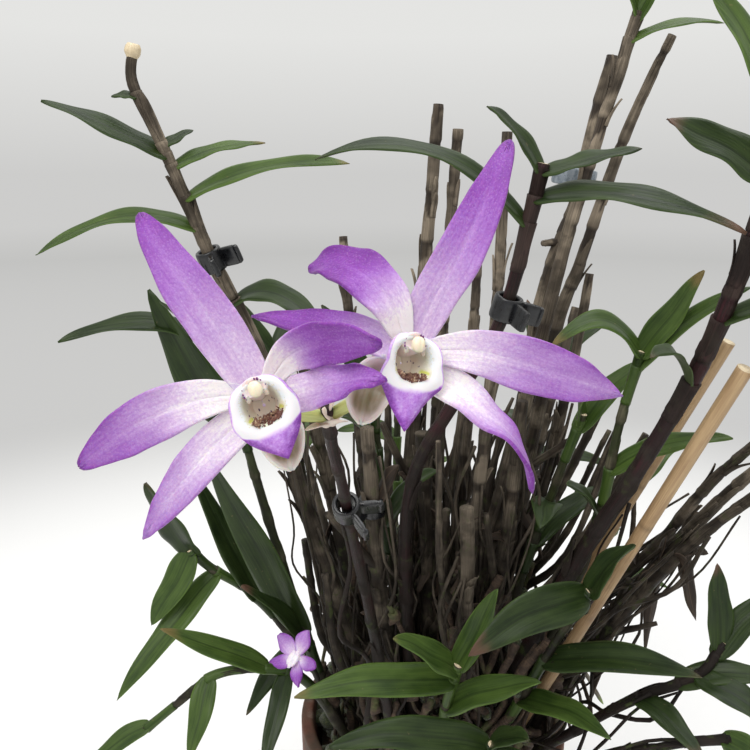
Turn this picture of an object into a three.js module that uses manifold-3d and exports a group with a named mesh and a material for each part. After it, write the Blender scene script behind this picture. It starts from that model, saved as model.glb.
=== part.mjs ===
// A potted Dendrobium moniliforme: a fan of canes and leafy shoots in bark mix, with two open blooms.
// Millimetres, +Z up, the origin at the middle of the pot's base, the blooms towards -Y.
import * as THREE from "three";
import { mergeVertices } from "three/addons/utils/BufferGeometryUtils.js";
import Module from "manifold-3d";

const wasm = await Module();
wasm.setup();

// Driving dimensions
const GAP = 0.35; // clearance between touching pieces
const POT_HEIGHT = 78;
const POT_RIM_RADIUS = 41;
const POT_BASE_RADIUS = 30;
const POT_WALL = 3.6;
const POT_BAND_HEIGHT = 13; // the thicker band round the rim
const POT_BAND_OUT = 2.2;
const DRAIN_RADIUS = 3;
const DRAIN_RING = 14;
const SOIL = 69; // level of the mix
const ROOTING_DEPTH = 24; // how deep the canes stand
const STAKE_DEPTH = 14;
const CHIP_COUNT = 15;
const CANE_SIDES = 5;
const INTERNODE = 28; // distance from one ring of a cane to the next
const KNUCKLE = 0.1; // how much a cane narrows between its rings
const LEAF_STEPS = 4;
const LEAF_THICK = 1.2;
const LEAF_FOLD = 0.32; // rise of a leaf's edges over its keel
const LEAF_FACE = [0, -0.5, 0.85]; // the leaves lean to the light at the front
const PETAL_THICK = 0.8;
const LIP_THICK = 0.8;
const BLOOM_LEAN = THREE.MathUtils.degToRad(15); // how far the blooms' plane leans back
const CHIN_HALF_WIDTH = 3.1;
const CHIN_SCOOP = 2.6;
const HUB_RADIUS = 2.2;
const HUB_DEPTH = 1.4;
const HUB_SHIFT = 0.15; // how far the receptacle lies towards the heart, as a share
const STALK_RADII = [0.9, 1.2]; // a bloom's stalk, at the cane and at the bloom
const SPUR_SHARE = 0.34; // a dead spur's radius as a share of its cane's thickness
const HOLE_OVER = 8; // how far a foot's hole is cut above the mix
const GOLDEN_ANGLE = Math.PI * (3 - Math.sqrt(5));
const CHIP = { long: [9, 16], wide: [6, 10], thick: [2.6, 4], tilt: 0.4, rise: [0.4, 1.4], margin: 11 };
const CLIP = { wall: 1.6, length: 5, tab: [1.1, 4.4, 5.5], tabOut: 3.4, spread: 0.5 };
const SMALL_PETAL_LENGTH = 7.1;
const SMALL_PETAL_WIDTH = 4.6;
const SMALL_HEART_RADIUS = 1.6;
const SMALL_STALK_RADIUS = 0.8;

const COLOURS = {
  pot: 0x5d3526,
  bark: 0x5a4632,
  oldCane: 0x8a7d6c,
  youngCane: 0x3c2428,
  shoot: 0x55773a,
  darkLeaf: 0x35552f,
  petal: 0xc79ad8,
  lip: 0xe9dcf0,
  column: 0xf3e6cf,
  pedicel: 0xa9b04e,
  bamboo: 0xc9a877,
  clip: 0x15171a,
  root: 0xb9b5a4,
};

// Old canes without leaves: foot on the mix, thickness at foot and tip, the points they pass, and
// dead side spurs as [share of the cane's length, the points they pass].
const OLD_CANES = [
  {
    foot: [-9, 3], thick: [6, 2.8],
    path: [[-9, 5, 120], [-5, 8, 200], [-1, 10, 259]],
    spurs: [[0.5, [-16, 2, 172]], [0.31, [-13, 19, 132], [-14, 26, 179]]],
  },
  {
    foot: [-1, 9], thick: [5.4, 2.6],
    path: [[-1, 11, 120], [2, 14, 200], [5, 16, 253]],
    spurs: [[0.45, [7, 16, 160]], [0.4, [3, 6, 140], [8, 3, 189]], [0.28, [10, 1, 125], [15, -1, 175]]],
  },
  {
    foot: [9, 4], thick: [6.4, 3.4],
    path: [[16, 5, 130], [25, 5, 178], [28, 5, 204], [31, 4.5, 218], [36, 4, 234], [39, 3.5, 252],
      [42.5, 3, 270]],
    spurs: [[0.79, [27, 2, 223]], [0.29, [27, 7, 127], [51, 11, 177]]],
  },
  {
    foot: [10, -4], thick: [6.2, 1.9],
    path: [[18, -4, 125], [26, -4.5, 170], [31, -5, 204], [35.5, -6, 219], [39, -6, 232], [44, -7, 250],
      [48, -7.5, 261], [53, -8, 273]],
    spurs: [[0.5, [36, -10, 172]], [0.38, [14, -6, 148], [17, -6, 174]]],
  },
  {
    foot: [19, 1], thick: [4.6, 2.2],
    path: [[27, 1, 130], [37, 0, 190], [40, 1, 215]],
    spurs: [[0.43, [35, -11, 136], [45, -17, 174]], [0.44, [38, -1, 139], [52, -4, 180]]],
  },
  {
    foot: [3, -18], thick: [4.2, 2],
    path: [[6, -23, 130], [10, -29, 200], [11, -29, 250]],
    spurs: [[0.39, [-1, -34, 142], [-4, -46, 184]]],
  },
  {
    foot: [28, 4], thick: [4.6, 2.4],
    path: [[41, 4, 104], [57, 0, 125], [63.5, -6, 138], [73, -14, 161], [84, -20, 178]],
    spurs: [[0.6, [60, 6, 146]]],
  },
  {
    foot: [27, -5], thick: [4.8, 2.6],
    path: [[41, -8, 104], [54, -12, 125], [62, -19, 143], [69, -26, 160], [78, -33, 176]],
    spurs: [[0.55, [50, -22, 136]]],
  },
  {
    foot: [25, -12], thick: [4.2, 2.4],
    path: [[39, -16, 102], [52, -23, 130], [58, -28, 144], [64, -33, 156], [74, -40, 171]],
    spurs: [[0.55, [58, -24, 124]]],
  },
  {
    foot: [-19, 2], thick: [5.6, 2.8],
    path: [[-26, 5, 120], [-36, 10, 170], [-42, 13, 205]],
    spurs: [[0.27, [-33, -1, 102], [-39, 1, 136]], [0.42, [-31, 13, 125], [-43, 24, 166]]],
  },
  {
    foot: [-14, 12], thick: [5.6, 2.6],
    path: [[-18, 20, 120], [-25, 32, 180], [-28, 38, 222]],
    spurs: [
      [0.6, [-14, 32, 174]], [0.31, [-21, 29, 115], [-24, 34, 144]], [0.26, [-23, 15, 104], [-25, 22, 141]],
    ],
  },
  {
    foot: [7, 17], thick: [5.4, 2.6],
    path: [[10, 26, 120], [14, 40, 180], [16, 47, 214]],
    spurs: [[0.5, [20, 34, 160]], [0.35, [10, 40, 124], [13, 50, 171]]],
  },
  {
    foot: [16, 16], thick: [5, 2.6],
    path: [[26, 21, 120], [38, 28, 170], [46, 34, 200]],
    spurs: [[0.38, [35, 16, 121], [54, 16, 165]], [0.47, [29, 17, 128], [39, 21, 170]]],
  },
  {
    foot: [0, -1], thick: [6, 3.8],
    path: [[-1, -3, 100], [-3, -5, 140], [-5, -6, 172]], spurs: [[0.49, [1, -12, 118], [1, -19, 155]]],
  },
  {
    foot: [-3, 18], thick: [5, 3.6],
    path: [[-3, 24, 100], [-5, 31, 140]], spurs: [],
  },
  {
    foot: [-12, -16], thick: [5.4, 3.2],
    path: [[-15, -19, 112], [-18, -23, 148], [-20, -25, 180]],
    spurs: [[0.7, [-30, -32, 160]], [0.33, [-27, -25, 111], [-31, -28, 141]]],
  },
  {
    foot: [2, -25], thick: [4.6, 3],
    path: [[4, -30, 108], [5, -35, 138], [4, -37, 164]], spurs: [[0.6, [13, -40, 134]]],
  },
  {
    foot: [9, -15], thick: [5.2, 3],
    path: [[13, -18, 110], [17, -21, 150], [19, -22, 186]],
    spurs: [[0.6, [10, -28, 158]], [0.49, [30, -20, 134], [50, -24, 178]]],
  },
].map((cane, index) => ({ ...cane, name: "old_cane_" + String(index + 1).padStart(2, "0") }));

// Leafy canes. A leaf is [share of the cane's length, tip, rise of its arch, width, way its face looks].
const LEAFY_CANES = [
  {
    name: "tall_leafy_cane", colour: "oldCane", foot: [-17, -8], thick: [5.2, 2.8],
    path: [[-26, -12, 115], [-38, -20, 162], [-44, -28, 195], [-49.5, -31, 211], [-54, -34.5, 222],
      [-56.5, -36.5, 230], [-59.5, -38.5, 239.5], [-62.5, -40, 248], [-65.5, -41, 255], [-67, -41, 260],
      [-66, -41, 266]],
    leaves: [
      [0.9, [-84, -45, 255], 1.5, 6], [0.86, [-23, -46, 243], 6, 6], [0.89, [-42, -30, 247.5], 3, 4],
      [0.91, [-56.5, -35, 250], 0.5, 3], [0.955, [-71, -42, 256], 0.5, 3], [0.83, [-89, -44, 224.5], 10, 5],
      [0.75, [-28, -42, 207], 10, 7],
    ],
  },
  {
    name: "maroon_cane_centre", colour: "youngCane", foot: [-5, -18], thick: [4.6, 2.6],
    path: [[-9, -21, 120], [-9, -32, 168], [0, -43, 193], [8, -50, 212], [12, -53, 232], [14, -54, 243]],
    leaves: [
      [0.99, [2.5, -56, 253], 4, 4.5], [0.99, [30.5, -60, 245.5], 0.5, 5], [0.965, [46, -71, 231], 7, 7],
      [0.94, [-29, -60, 243.5], 16, 5.5],
    ],
  },
  {
    name: "grey_cane_leafy_top", colour: "oldCane", foot: [5, -9], thick: [5, 2.4],
    path: [[12, -11, 130], [22, -13, 185], [30, -14, 228], [34, -14, 244], [36.5, -14, 254.5],
      [39, -14, 263], [41, -13.5, 271], [43, -13, 277]],
    leaves: [[0.995, [37.5, -16, 290], 0, 4], [0.97, [60, -20, 273.5], 4, 4], [0.99, [49, -17, 288], 2, 4]],
  },
  {
    name: "maroon_cane_right", colour: "youngCane", foot: [16.5, -13.5], thick: [5.2, 3],
    path: [[23, -24, 115], [32, -36, 150], [41, -46, 178], [48.5, -53, 203], [50.5, -60, 221],
      [52, -64, 236], [55, -66, 250]],
    leaves: [
      [0.95, [34, -61, 250.5], 1.5, 8.5, [0.3, -0.8, 0.5]], [0.99, [39, -61, 272], 3, 8, [0.3, -0.8, 0.4]],
      [0.75, [33, -67, 208], 8, 5],
      [0.9, [80, -62, 240], 10, 7], [0.82, [78, -78, 212], 12, 6],
    ],
  },
  {
    name: "green_shoot_right", colour: "shoot", foot: [19, -19], thick: [3.4, 2],
    path: [[26, -26, 110], [33, -28, 135], [38, -30, 158], [40.5, -32, 184], [43, -35, 202]],
    leaves: [
      [0.99, [53, -40, 221], 0, 6], [0.99, [21, -40, 204], 14, 6], [0.97, [62, -44, 218], 6, 5],
      [0.8, [62, -44, 184], 6, 6], [0.72, [26, -42, 172], 4, 6],
    ],
  },
  {
    name: "trailing_cane_left", colour: "shoot", foot: [-28, -3], thick: [3.2, 2],
    path: [[-36, -7, 98], [-47, -10, 117], [-54, -15, 129], [-63, -20, 139], [-67, -22, 145]],
    leaves: [
      [0.98, [-75.5, -28, 166.5], -2, 9, [-0.5, -0.8, 0.3]], [0.76, [-63, -31, 171], 0, 7],
      [0.99, [-77, -28, 126], -1, 8], [0.9, [-85, -36, 109], 3, 7], [0.56, [-52, -34, 103], 4, 6],
    ],
  },
  {
    name: "low_cane_left", colour: "shoot", foot: [-22, -18], thick: [3, 1.8],
    path: [[-30, -23, 94], [-39, -27, 110], [-50, -31, 115], [-60, -33, 114.5], [-69, -34, 107.5],
      [-79, -35, 99]],
    leaves: [
      [0.98, [-96, -38, 88], 3, 5], [0.8, [-65, -44, 98], 2, 6], [0.67, [-71, -40, 133], 1, 6],
      [0.62, [-46, -48, 96], 4, 5],
    ],
  },
  {
    name: "broad_leafed_shoot", colour: "darkLeaf", foot: [-26, -11], thick: [3.4, 2],
    path: [[-36, -17, 110], [-45, -22, 150], [-52, -25, 182], [-58, -28, 204]],
    leaves: [
      [0.86, [-69, -34, 216], -8, 10, [-0.2, -0.9, 0.3]], [0.99, [-89, -38, 204.5], 9, 6],
      [0.45, [-58, -36, 178], -2, 9, [-0.2, -0.9, 0.3]], [0.42, [-50, -42, 146], 4, 7],
      [0.97, [-64, -44, 215], 2, 5],
    ],
  },
  {
    name: "trailing_cane_right", colour: "youngCane", foot: [24, -18], thick: [3.4, 2],
    path: [[35, -32, 96], [48, -41, 114], [61, -45, 124], [66, -44, 132]],
    leaves: [
      [0.98, [63, -42, 152], 2, 6], [0.96, [80, -42, 146], 4, 6], [0.9, [74, -60, 118], 4, 7],
      [0.75, [57, -60, 112], 4, 6], [0.85, [78, -50, 126], 5, 6],
    ],
  },
  {
    name: "low_cane_right", colour: "youngCane", foot: [14.5, -26], thick: [3.2, 2],
    path: [[26, -40, 92], [42, -49, 104], [56, -52, 110], [66, -53, 112]],
    leaves: [[0.98, [80, -60, 100], 4, 7], [0.8, [58, -68, 96], 4, 6], [0.6, [34, -60, 98], 4, 6]],
  },
  {
    name: "front_shoot_left", colour: "shoot", foot: [-2, -28], thick: [3, 2],
    path: [[-1, -36, 96], [0, -44, 116], [2, -47, 128]],
    leaves: [
      [0.97, [-14, -57, 142], 2, 7], [0.93, [-36, -60, 129], 4, 8],
      [0.8, [20, -55, 129], 4, 7], [0.98, [10, -50, 150], 1, 6],
    ],
  },
  {
    name: "front_shoot_middle", colour: "shoot", foot: [6.5, -29], thick: [3, 2],
    path: [[8, -42, 90], [8, -52, 104], [9, -57, 114]],
    leaves: [[0.97, [-28, -67, 122], 7, 8], [0.9, [28, -70, 104], 5, 8], [0.98, [14, -70, 126], 3, 7]],
  },
  {
    name: "front_shoot_right", colour: "shoot", foot: [12, -20], thick: [3.2, 2],
    path: [[20, -32, 105], [28, -40, 132], [33, -44, 146]],
    leaves: [
      [0.98, [2, -62, 141], 5, 9, [0.1, -0.8, 0.6]], [0.99, [38, -56, 164], 3, 7],
      [0.75, [54, -60, 134], 5, 8],
      [0.6, [36, -58, 116], 5, 7],
    ],
  },
  {
    name: "inner_leafy_shoot", colour: "darkLeaf", foot: [-7, -7], thick: [3.6, 2.2],
    path: [[-12, -9, 120], [-17, -11, 165], [-19, -12, 190]],
    leaves: [
      [0.98, [-10, -22, 212], 2, 6], [0.95, [-32, -8, 208], 4, 6],
      [0.85, [-28, -28, 184], 6, 7], [0.7, [-2, -24, 168], 6, 7],
    ],
  },
  {
    name: "middle_leafy_shoot", colour: "darkLeaf", foot: [13.5, -9], thick: [3.4, 2.2],
    path: [[21, -11, 120], [30, -16, 160], [35, -20, 182]],
    leaves: [
      [0.98, [30, -30, 198], 3, 7], [0.96, [52, -18, 196], 5, 6], [0.8, [22, -36, 158], 4, 7],
      [0.7, [48, -6, 156], 6, 6],
    ],
  },
  {
    name: "back_shoot_left", colour: "youngCane", foot: [-24, 14], thick: [3.8, 2.2],
    path: [[-34, 22, 115], [-46, 32, 160], [-52, 38, 186]],
    leaves: [
      [0.98, [-66, 34, 204], 4, 6], [0.96, [-44, 54, 200], 4, 6], [0.84, [-74, 46, 168], 8, 7],
      [0.75, [-34, 58, 160], 8, 7],
    ],
  },
  {
    name: "back_shoot_middle", colour: "shoot", foot: [-10, 27], thick: [3.4, 2.2],
    path: [[-11, 40, 112], [-10, 52, 150], [-10, 57, 172]],
    leaves: [
      [0.98, [-22, 66, 190], 3, 6], [0.97, [8, 66, 186], 5, 7], [0.82, [-32, 64, 148], 6, 7],
      [0.7, [12, 66, 136], 6, 7],
    ],
  },
  {
    name: "back_shoot_right", colour: "youngCane", foot: [14, 25], thick: [3.8, 2.4],
    path: [[24, 37, 112], [35, 48, 150], [41, 54, 176]],
    leaves: [
      [0.98, [36, 62, 198], 3, 6], [0.97, [62, 56, 190], 5, 7], [0.82, [30, 74, 152], 6, 7],
      [0.74, [64, 44, 142], 8, 7],
    ],
  },
  {
    name: "side_shoot_right", colour: "shoot", foot: [25, 13], thick: [3.2, 2],
    path: [[40, 17, 102], [56, 18, 130], [64, 17, 148]],
    leaves: [
      [0.98, [72, 10, 166], 3, 6], [0.97, [80, 26, 156], 5, 6], [0.8, [66, 36, 122], 5, 7],
      [0.7, [72, 4, 118], 5, 7],
    ],
  },
];

const FLOWER_CANE = {
  name: "flowering_cane", foot: [-10, -26], thick: [3.2, 2],
  path: [[-14, -34, 100], [-19, -48, 142], [-23, -63, 172], [-24, -76, 187], [-25, -88, 199],
    [-25, -98, 208]],
};

// Thin silvery roots: foot on the mix and the points they pass.
const AERIAL_ROOTS = [
  { name: "aerial_root_left", foot: [-31, 5], path: [[-37, 6, 86], [-45, 3, 92], [-53, 2, 84]] },
  {
    name: "aerial_root_front", foot: [-15, -28],
    path: [[-17, -35, 86], [-20, -42, 92], [-26, -47, 86], [-29, -49, 76]],
  },
  { name: "aerial_root_right", foot: [31, -1], path: [[36, -2, 90], [44, -3, 95], [52, -6, 84]] },
];

const STAKES = [
  { name: "bamboo_stake_front", foot: [21, -9], radius: 1.7, tip: [55, -59, 204] },
  { name: "bamboo_stake_back", foot: [22, 8], radius: 1.6, tip: [65, -30, 203] },
];

// Clips sit round a cane at a share of its length.
const CLIPS = [
  { name: "clip_tall_cane", cane: "tall_leafy_cane", at: 0.8, turn: 0.4 },
  { name: "clip_maroon_cane", cane: "maroon_cane_centre", at: 0.86, turn: 1.2 },
  { name: "clip_grey_canes", cane: "old_cane_03", at: 0.865, turn: -1.2 },
  { name: "clip_flowering_cane", cane: "flowering_cane", at: 0.77, turn: 1 },
  { name: "clip_low", cane: "old_cane_16", at: 0.84, turn: -1.2 },
];

// Blooms: petals lie in a plane that leans back, x to the right, y up it, z out of it, from the centre.
// A petal is its midline, its width, and the turn of its face at root and tip in degrees.
const BLOOMS = [
  {
    name: "left_bloom", centre: [-32.2, -112.1, 213.4],
    heart: [0.55, -0.4, 0], up: [-0.43, 0.9, 0.1], out: [0.05, 0.05, 1],
    lip: { point: 7.1, corner: 4.5, cornerAt: 1.15, bulge: 0.5 },
    sepals: [
      {
        width: 6, turn: [0, 10],
        line: [[-0.8, 2, 0], [-5.8, 9.9, 1.5], [-9.6, 15, 1.5], [-13.6, 20.8, 0], [-16, 24.1, -2]],
      },
      {
        width: 5, turn: [0, 15],
        line: [[-1, -1, -0.6], [-6.4, -6, 0], [-10.5, -11, 0], [-15.5, -17.6, -2]],
      },
      {
        width: 4.6, turn: [-10, -30],
        line: [[1, 0.3, -0.4], [5.3, 1.2, 1.3], [9.5, 2.4, 4], [13, 3, 6.4], [15.6, 2.7, 8.4]],
      },
    ],
    petals: [
      {
        width: 6.3, turn: [0, -10],
        line: [[-1.5, 1.1, 0], [-7.7, 0.3, 1], [-14, -2.1, 0], [-19.6, -5.4, -1.5], [-24, -8.5, -3]],
      },
      {
        width: 5.6, turn: [15, 40],
        line: [[0.6, 2.1, 0.2], [3.4, 5.6, 1.8], [6.8, 7, 4.5], [9.8, 7.4, 7], [12.5, 7.3, 9.4],
          [15, 6.9, 11.5]],
      },
    ],
    chin: [[0.5, -0.5, -2.6], [2, -4.5, -4.6], [3.6, -8.8, -2]],
  },
  {
    name: "right_bloom", centre: [-13.7, -110.7, 218.7],
    heart: [-2.3, -0.8, 0], up: [0.2, 0.985, 0.1], out: [0.55, 0.08, 1],
    lip: { point: 8.4, corner: 5.1, cornerAt: 0.95, bulge: -0.15 },
    sepals: [
      {
        width: 5.4, turn: [0, -10],
        line: [[0.6, 2.5, 0], [3.3, 8.1, 1.5], [5.6, 11.8, 2], [8, 16.6, 1.5], [10.4, 21.8, 0],
          [13.2, 28.3, -3]],
      },
      {
        width: 4.6, turn: [0, -95],
        line: [[1.4, -1.2, -0.4], [6.2, -4.2, 1.6], [9.1, -7, 2.6], [11.9, -9.4, 3], [14, -12.5, 2.5],
          [15, -16.6, 2]],
      },
      {
        width: 4.4, turn: [0, 50],
        line: [[-1.7, 1.2, -0.8], [-5.2, 3, -2.4], [-11.5, 4.6, -6], [-21.4, 6.1, -10]],
      },
    ],
    petals: [
      {
        width: 6.3, turn: [0, 40],
        line: [[-0.5, 2, 0], [-2.4, 6.7, 2], [-4.9, 9.6, 1.5], [-7.1, 11.3, 0], [-10.1, 12.5, -3],
          [-13.1, 12.1, -6]],
      },
      {
        width: 6.5, turn: [0, 10],
        line: [[1.1, 1, 0], [7.9, 0.8, 1.5], [15.2, -1, 1], [21.4, -2.9, 0], [27.4, -4.8, -2]],
      },
    ],
    chin: [[-0.8, -0.8, -2.6], [-4.6, -3.6, -4.8], [-6.2, -8.4, -2.2]],
  },
];

// The lip, in the bloom's own frame: a cup open at the top, whose front ends in a point between two
// corners and whose side lobes stand forward.
const CUP_WIDTH = 2.6;
const CUP_HEIGHT = 2.75;
const LIP_SIDE = 3.8; // reach of the side lobes
const LIP_FLOOR = 2.4; // how far the cup's floor stands out of the bloom's heart
const LIP_CREST = 5.2;
const LIP_DROOP = 0.6;
const LIP_RISE = 1.6;
const LIP_BLEND = 0.6;

const small = {
  centre: [-37.5, -37, 123],
  out: [-0.6, -0.65, 0.45],
  cane: "low_cane_left",
  at: 0.47,
};

const vector = (at) => new THREE.Vector3(...at);
const smooth = (points) => new THREE.CatmullRomCurve3(points.map(vector), false, "centripetal");
const mix = THREE.MathUtils.lerp;

// Random numbers that come out the same every time.
function seededRandom(seed) {
  let state = seed;
  return () => {
    state = (state * 1664525 + 1013904223) % 4294967296;
    return state / 4294967296;
  };
}

// A closed geometry as a solid that can be joined and cut.
function solidFrom(geometry) {
  const bare = geometry.index ? geometry.toNonIndexed() : geometry.clone();
  for (const name of Object.keys(bare.attributes)) if (name !== "position") bare.deleteAttribute(name);
  const merged = mergeVertices(bare, 1e-4);
  const mesh = new wasm.Mesh({
    numProp: 3,
    vertProperties: merged.attributes.position.array,
    triVerts: new Uint32Array(merged.index.array),
  });
  return new wasm.Manifold(mesh);
}

function geometryFrom(solid) {
  const mesh = solid.getMesh();
  const geometry = new THREE.BufferGeometry();
  geometry.setAttribute("position", new THREE.BufferAttribute(mesh.vertProperties, mesh.numProp));
  geometry.setIndex(new THREE.BufferAttribute(mesh.triVerts, 1));
  geometry.computeVertexNormals();
  return geometry;
}

// Moves every point of a geometry that stands on y from -0.5 to 0.5: place takes the share of its
// height, and its x and z.
function bent(geometry, place) {
  const position = geometry.getAttribute("position");
  for (let i = 0; i < position.count; i++) {
    const to = place(position.getY(i) + 0.5, position.getX(i), position.getZ(i));
    position.setXYZ(i, to.x, to.y, to.z);
  }
  return solidFrom(geometry);
}

// A round stem along a curve, its radius given for each share of its length.
function stem(curve, radiusAt, sides, steps) {
  const frames = curve.computeFrenetFrames(steps);
  return bent(new THREE.CylinderGeometry(1, 1, 1, sides, steps), (share, x, z) => {
    const row = Math.round(share * steps);
    const radius = radiusAt(row / steps);
    return curve
      .getPointAt(row / steps)
      .addScaledVector(frames.normals[row], x * radius)
      .addScaledVector(frames.binormals[row], -z * radius);
  });
}

// A closed blade of even thickness. surface(across, along) is its middle layer, with across from -1
// to 1 and along from 0 to 1. Both faces are split into triangles alike.
function blade(surface, columns, rows, thickness) {
  const step = 0.01;
  const front = [];
  const back = [];
  for (let row = 0; row <= rows; row++)
    for (let column = 0; column <= columns; column++) {
      const across = (2 * column) / columns - 1;
      const along = row / rows;
      const middle = surface(across, along);
      const sideways = surface(across + step, along).sub(surface(across - step, along));
      const before = surface(across, Math.max(0, along - step));
      const onwards = surface(across, Math.min(1, along + step)).sub(before);
      const half = sideways.cross(onwards).setLength(thickness / 2);
      front.push(middle.clone().add(half));
      back.push(middle.clone().sub(half));
    }
  const corner = (row, column) => row * (columns + 1) + column;
  const under = front.length;
  const faces = [];
  const rim = (a, b) => faces.push(b, a, a + under, b, a + under, b + under);
  for (let row = 0; row < rows; row++)
    for (let column = 0; column < columns; column++) {
      const a = corner(row, column);
      const b = corner(row, column + 1);
      const c = corner(row + 1, column);
      const d = corner(row + 1, column + 1);
      faces.push(a, b, c, b, d, c);
      faces.push(a + under, c + under, b + under, b + under, c + under, d + under);
    }
  for (let column = 0; column < columns; column++) {
    rim(corner(0, column), corner(0, column + 1));
    rim(corner(rows, column + 1), corner(rows, column));
  }
  for (let row = 0; row < rows; row++) {
    rim(corner(row, columns), corner(row + 1, columns));
    rim(corner(row + 1, 0), corner(row, 0));
  }
  const geometry = new THREE.BufferGeometry().setFromPoints([...front, ...back]);
  geometry.setIndex(faces);
  return solidFrom(geometry);
}

function joined(solids) {
  return solids.reduce((whole, next) => whole.add(next));
}

const largest = (solid) => solid.decompose().sort((a, b) => b.volume() - a.volume())[0];

// Canes and leaves

function caneCurve({ foot: [x, y], path }) {
  return smooth([[x, y, SOIL - ROOTING_DEPTH], [x, y, SOIL - 10], [x, y, SOIL + 2], ...path]);
}

// The cane is a little thicker at each ring than between two rings. grown widens it for a clear hole.
function caneStem(cane, grown = 0) {
  const curve = caneCurve(cane);
  const steps = 2 * Math.round(curve.getLength() / INTERNODE);
  const radiusAt = (share) => {
    const ring = Math.round(share * steps) % 2 === 0 ? 1 : 1 - KNUCKLE;
    return (mix(cane.thick[0], cane.thick[1], share) / 2) * ring + grown;
  };
  return stem(curve, radiusAt, CANE_SIDES, steps);
}

const leafWidth = (share) =>
  Math.max(0.07, 0.34 * (1 - share) ** 3 + Math.sin(Math.PI * share ** 0.8) ** 0.7);

// A narrow leaf folded along its keel: it leaves the cane, arches over and ends in a point.
function leaf(curve, [at, tip, rise, width, face = LEAF_FACE]) {
  const root = curve.getPointAt(at);
  const end = vector(tip);
  const arch = root.clone().lerp(end, 0.45).add(new THREE.Vector3(0, 0, rise));
  const line = new THREE.QuadraticBezierCurve3(root, arch, end);
  return bent(new THREE.CylinderGeometry(1, 1, 1, 4, LEAF_STEPS), (share, x, z) => {
    const tangent = line.getTangent(share);
    const side = tangent.clone().cross(vector(face)).normalize();
    const out = side.clone().cross(tangent);
    const half = (width / 2) * leafWidth(share);
    const fold = Math.abs(x) * LEAF_FOLD * half;
    const thick = (z * LEAF_THICK) / 2;
    return line.getPoint(share).addScaledVector(side, x * half).addScaledVector(out, fold + thick);
  });
}

function oldCane(cane) {
  const curve = caneCurve(cane);
  const spurs = cane.spurs.map(([at, ...points]) => {
    const radius = mix(cane.thick[0], cane.thick[1], at) * SPUR_SHARE;
    const start = curve.getPointAt(at);
    const line = new THREE.CatmullRomCurve3([start, ...points.map(vector)], false, "centripetal");
    const steps = 2 * points.length - 1;
    return stem(line, (share) => radius * (1 - 0.4 * share), CANE_SIDES, steps);
  });
  return joined([caneStem(cane), ...spurs]);
}

function leafyCane(cane) {
  const curve = caneCurve(cane);
  return joined([caneStem(cane), ...cane.leaves.map((one) => leaf(curve, one))]);
}

// Blooms

// Axes of the plane that the blooms' petals are laid out in.
const BLOOM_PLANE = new THREE.Matrix4().makeRotationX(Math.PI / 2 - BLOOM_LEAN);

// Places a point of a bloom's plane in the plant.
function inPlane(bloom, point) {
  return point.applyMatrix4(BLOOM_PLANE).add(vector(bloom.centre));
}

// Places a point of the bloom's own frame, with y up to the dorsal sepal and z out of its mouth.
function inBloom(bloom, point) {
  const out = vector(bloom.out).normalize();
  const right = vector(bloom.up).cross(out).normalize();
  const up = out.clone().cross(right);
  const turned = new THREE.Matrix4().makeBasis(right, up, out);
  return inPlane(bloom, point.applyMatrix4(turned).add(vector(bloom.heart)));
}

// Width of a petal, and of a sepal, which is broader at its root, as a share of the widest.
const petalWidth = (share) =>
  Math.max(0.1, 0.3 * (1 - share) ** 3 + Math.sin(Math.PI * share ** 1.15) ** 0.75);
const sepalWidth = (share) => Math.max(0.1, 0.7 * (1 - share) ** 4 + Math.sin(Math.PI * share ** 0.9) ** 0.8);

function petal(bloom, { line, width, turn }, widthAt) {
  const curve = smooth(line);
  return blade((across, along) => {
    const tangent = curve.getTangentAt(along);
    const roll = THREE.MathUtils.degToRad(mix(turn[0], turn[1], along));
    const side = tangent.clone().cross(new THREE.Vector3(0, 0, 1)).normalize().applyAxisAngle(tangent, roll);
    const face = side.clone().cross(tangent);
    const half = (width / 2) * widthAt(along);
    const cup = 0.16 * across * across * half;
    const point = curve.getPointAt(along).addScaledVector(side, across * half).addScaledVector(face, cup);
    return inPlane(bloom, point);
  }, 4, 5, PETAL_THICK);
}

// The chin: the joined bases of the two side sepals, a deep scoop behind the lip.
function chin(bloom, grown = 0) {
  const curve = smooth(bloom.chin);
  return blade((across, along) => {
    const tangent = curve.getTangentAt(along);
    const side = tangent.clone().cross(new THREE.Vector3(0, 0, 1)).normalize();
    const face = side.clone().cross(tangent);
    const half = CHIN_HALF_WIDTH * Math.sqrt(1.02 - (1.7 * along - 0.7) ** 2);
    const scoop = CHIN_SCOOP * across * across * (1 - 0.7 * along);
    const point = curve.getPointAt(along).addScaledVector(side, across * half).addScaledVector(face, scoop);
    return inPlane(bloom, point);
  }, 4, 4, PETAL_THICK + 2 * grown);
}

// The receptacle that the petals grow from, a little towards the heart of the bloom, widened by grown
// for a clear seat.
function hub(bloom, grown = 0) {
  return solidFrom(placed(new THREE.SphereGeometry(HUB_RADIUS + grown, 8, 5), (p) => {
    p.z = p.z * 0.8 - HUB_DEPTH;
    return inPlane(bloom, p.addScaledVector(vector(bloom.heart), HUB_SHIFT));
  }));
}

function placed(geometry, move) {
  const position = geometry.getAttribute("position");
  const point = new THREE.Vector3();
  for (let i = 0; i < position.count; i++) {
    const to = move(point.fromBufferAttribute(position, i));
    position.setXYZ(i, to.x, to.y, to.z);
  }
  return geometry;
}

function perianth(bloom) {
  const sepals = bloom.sepals.map((one) => petal(bloom, one, sepalWidth));
  const petals = bloom.petals.map((one) => petal(bloom, one, petalWidth));
  return joined([hub(bloom), chin(bloom), ...sepals, ...petals]);
}

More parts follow.
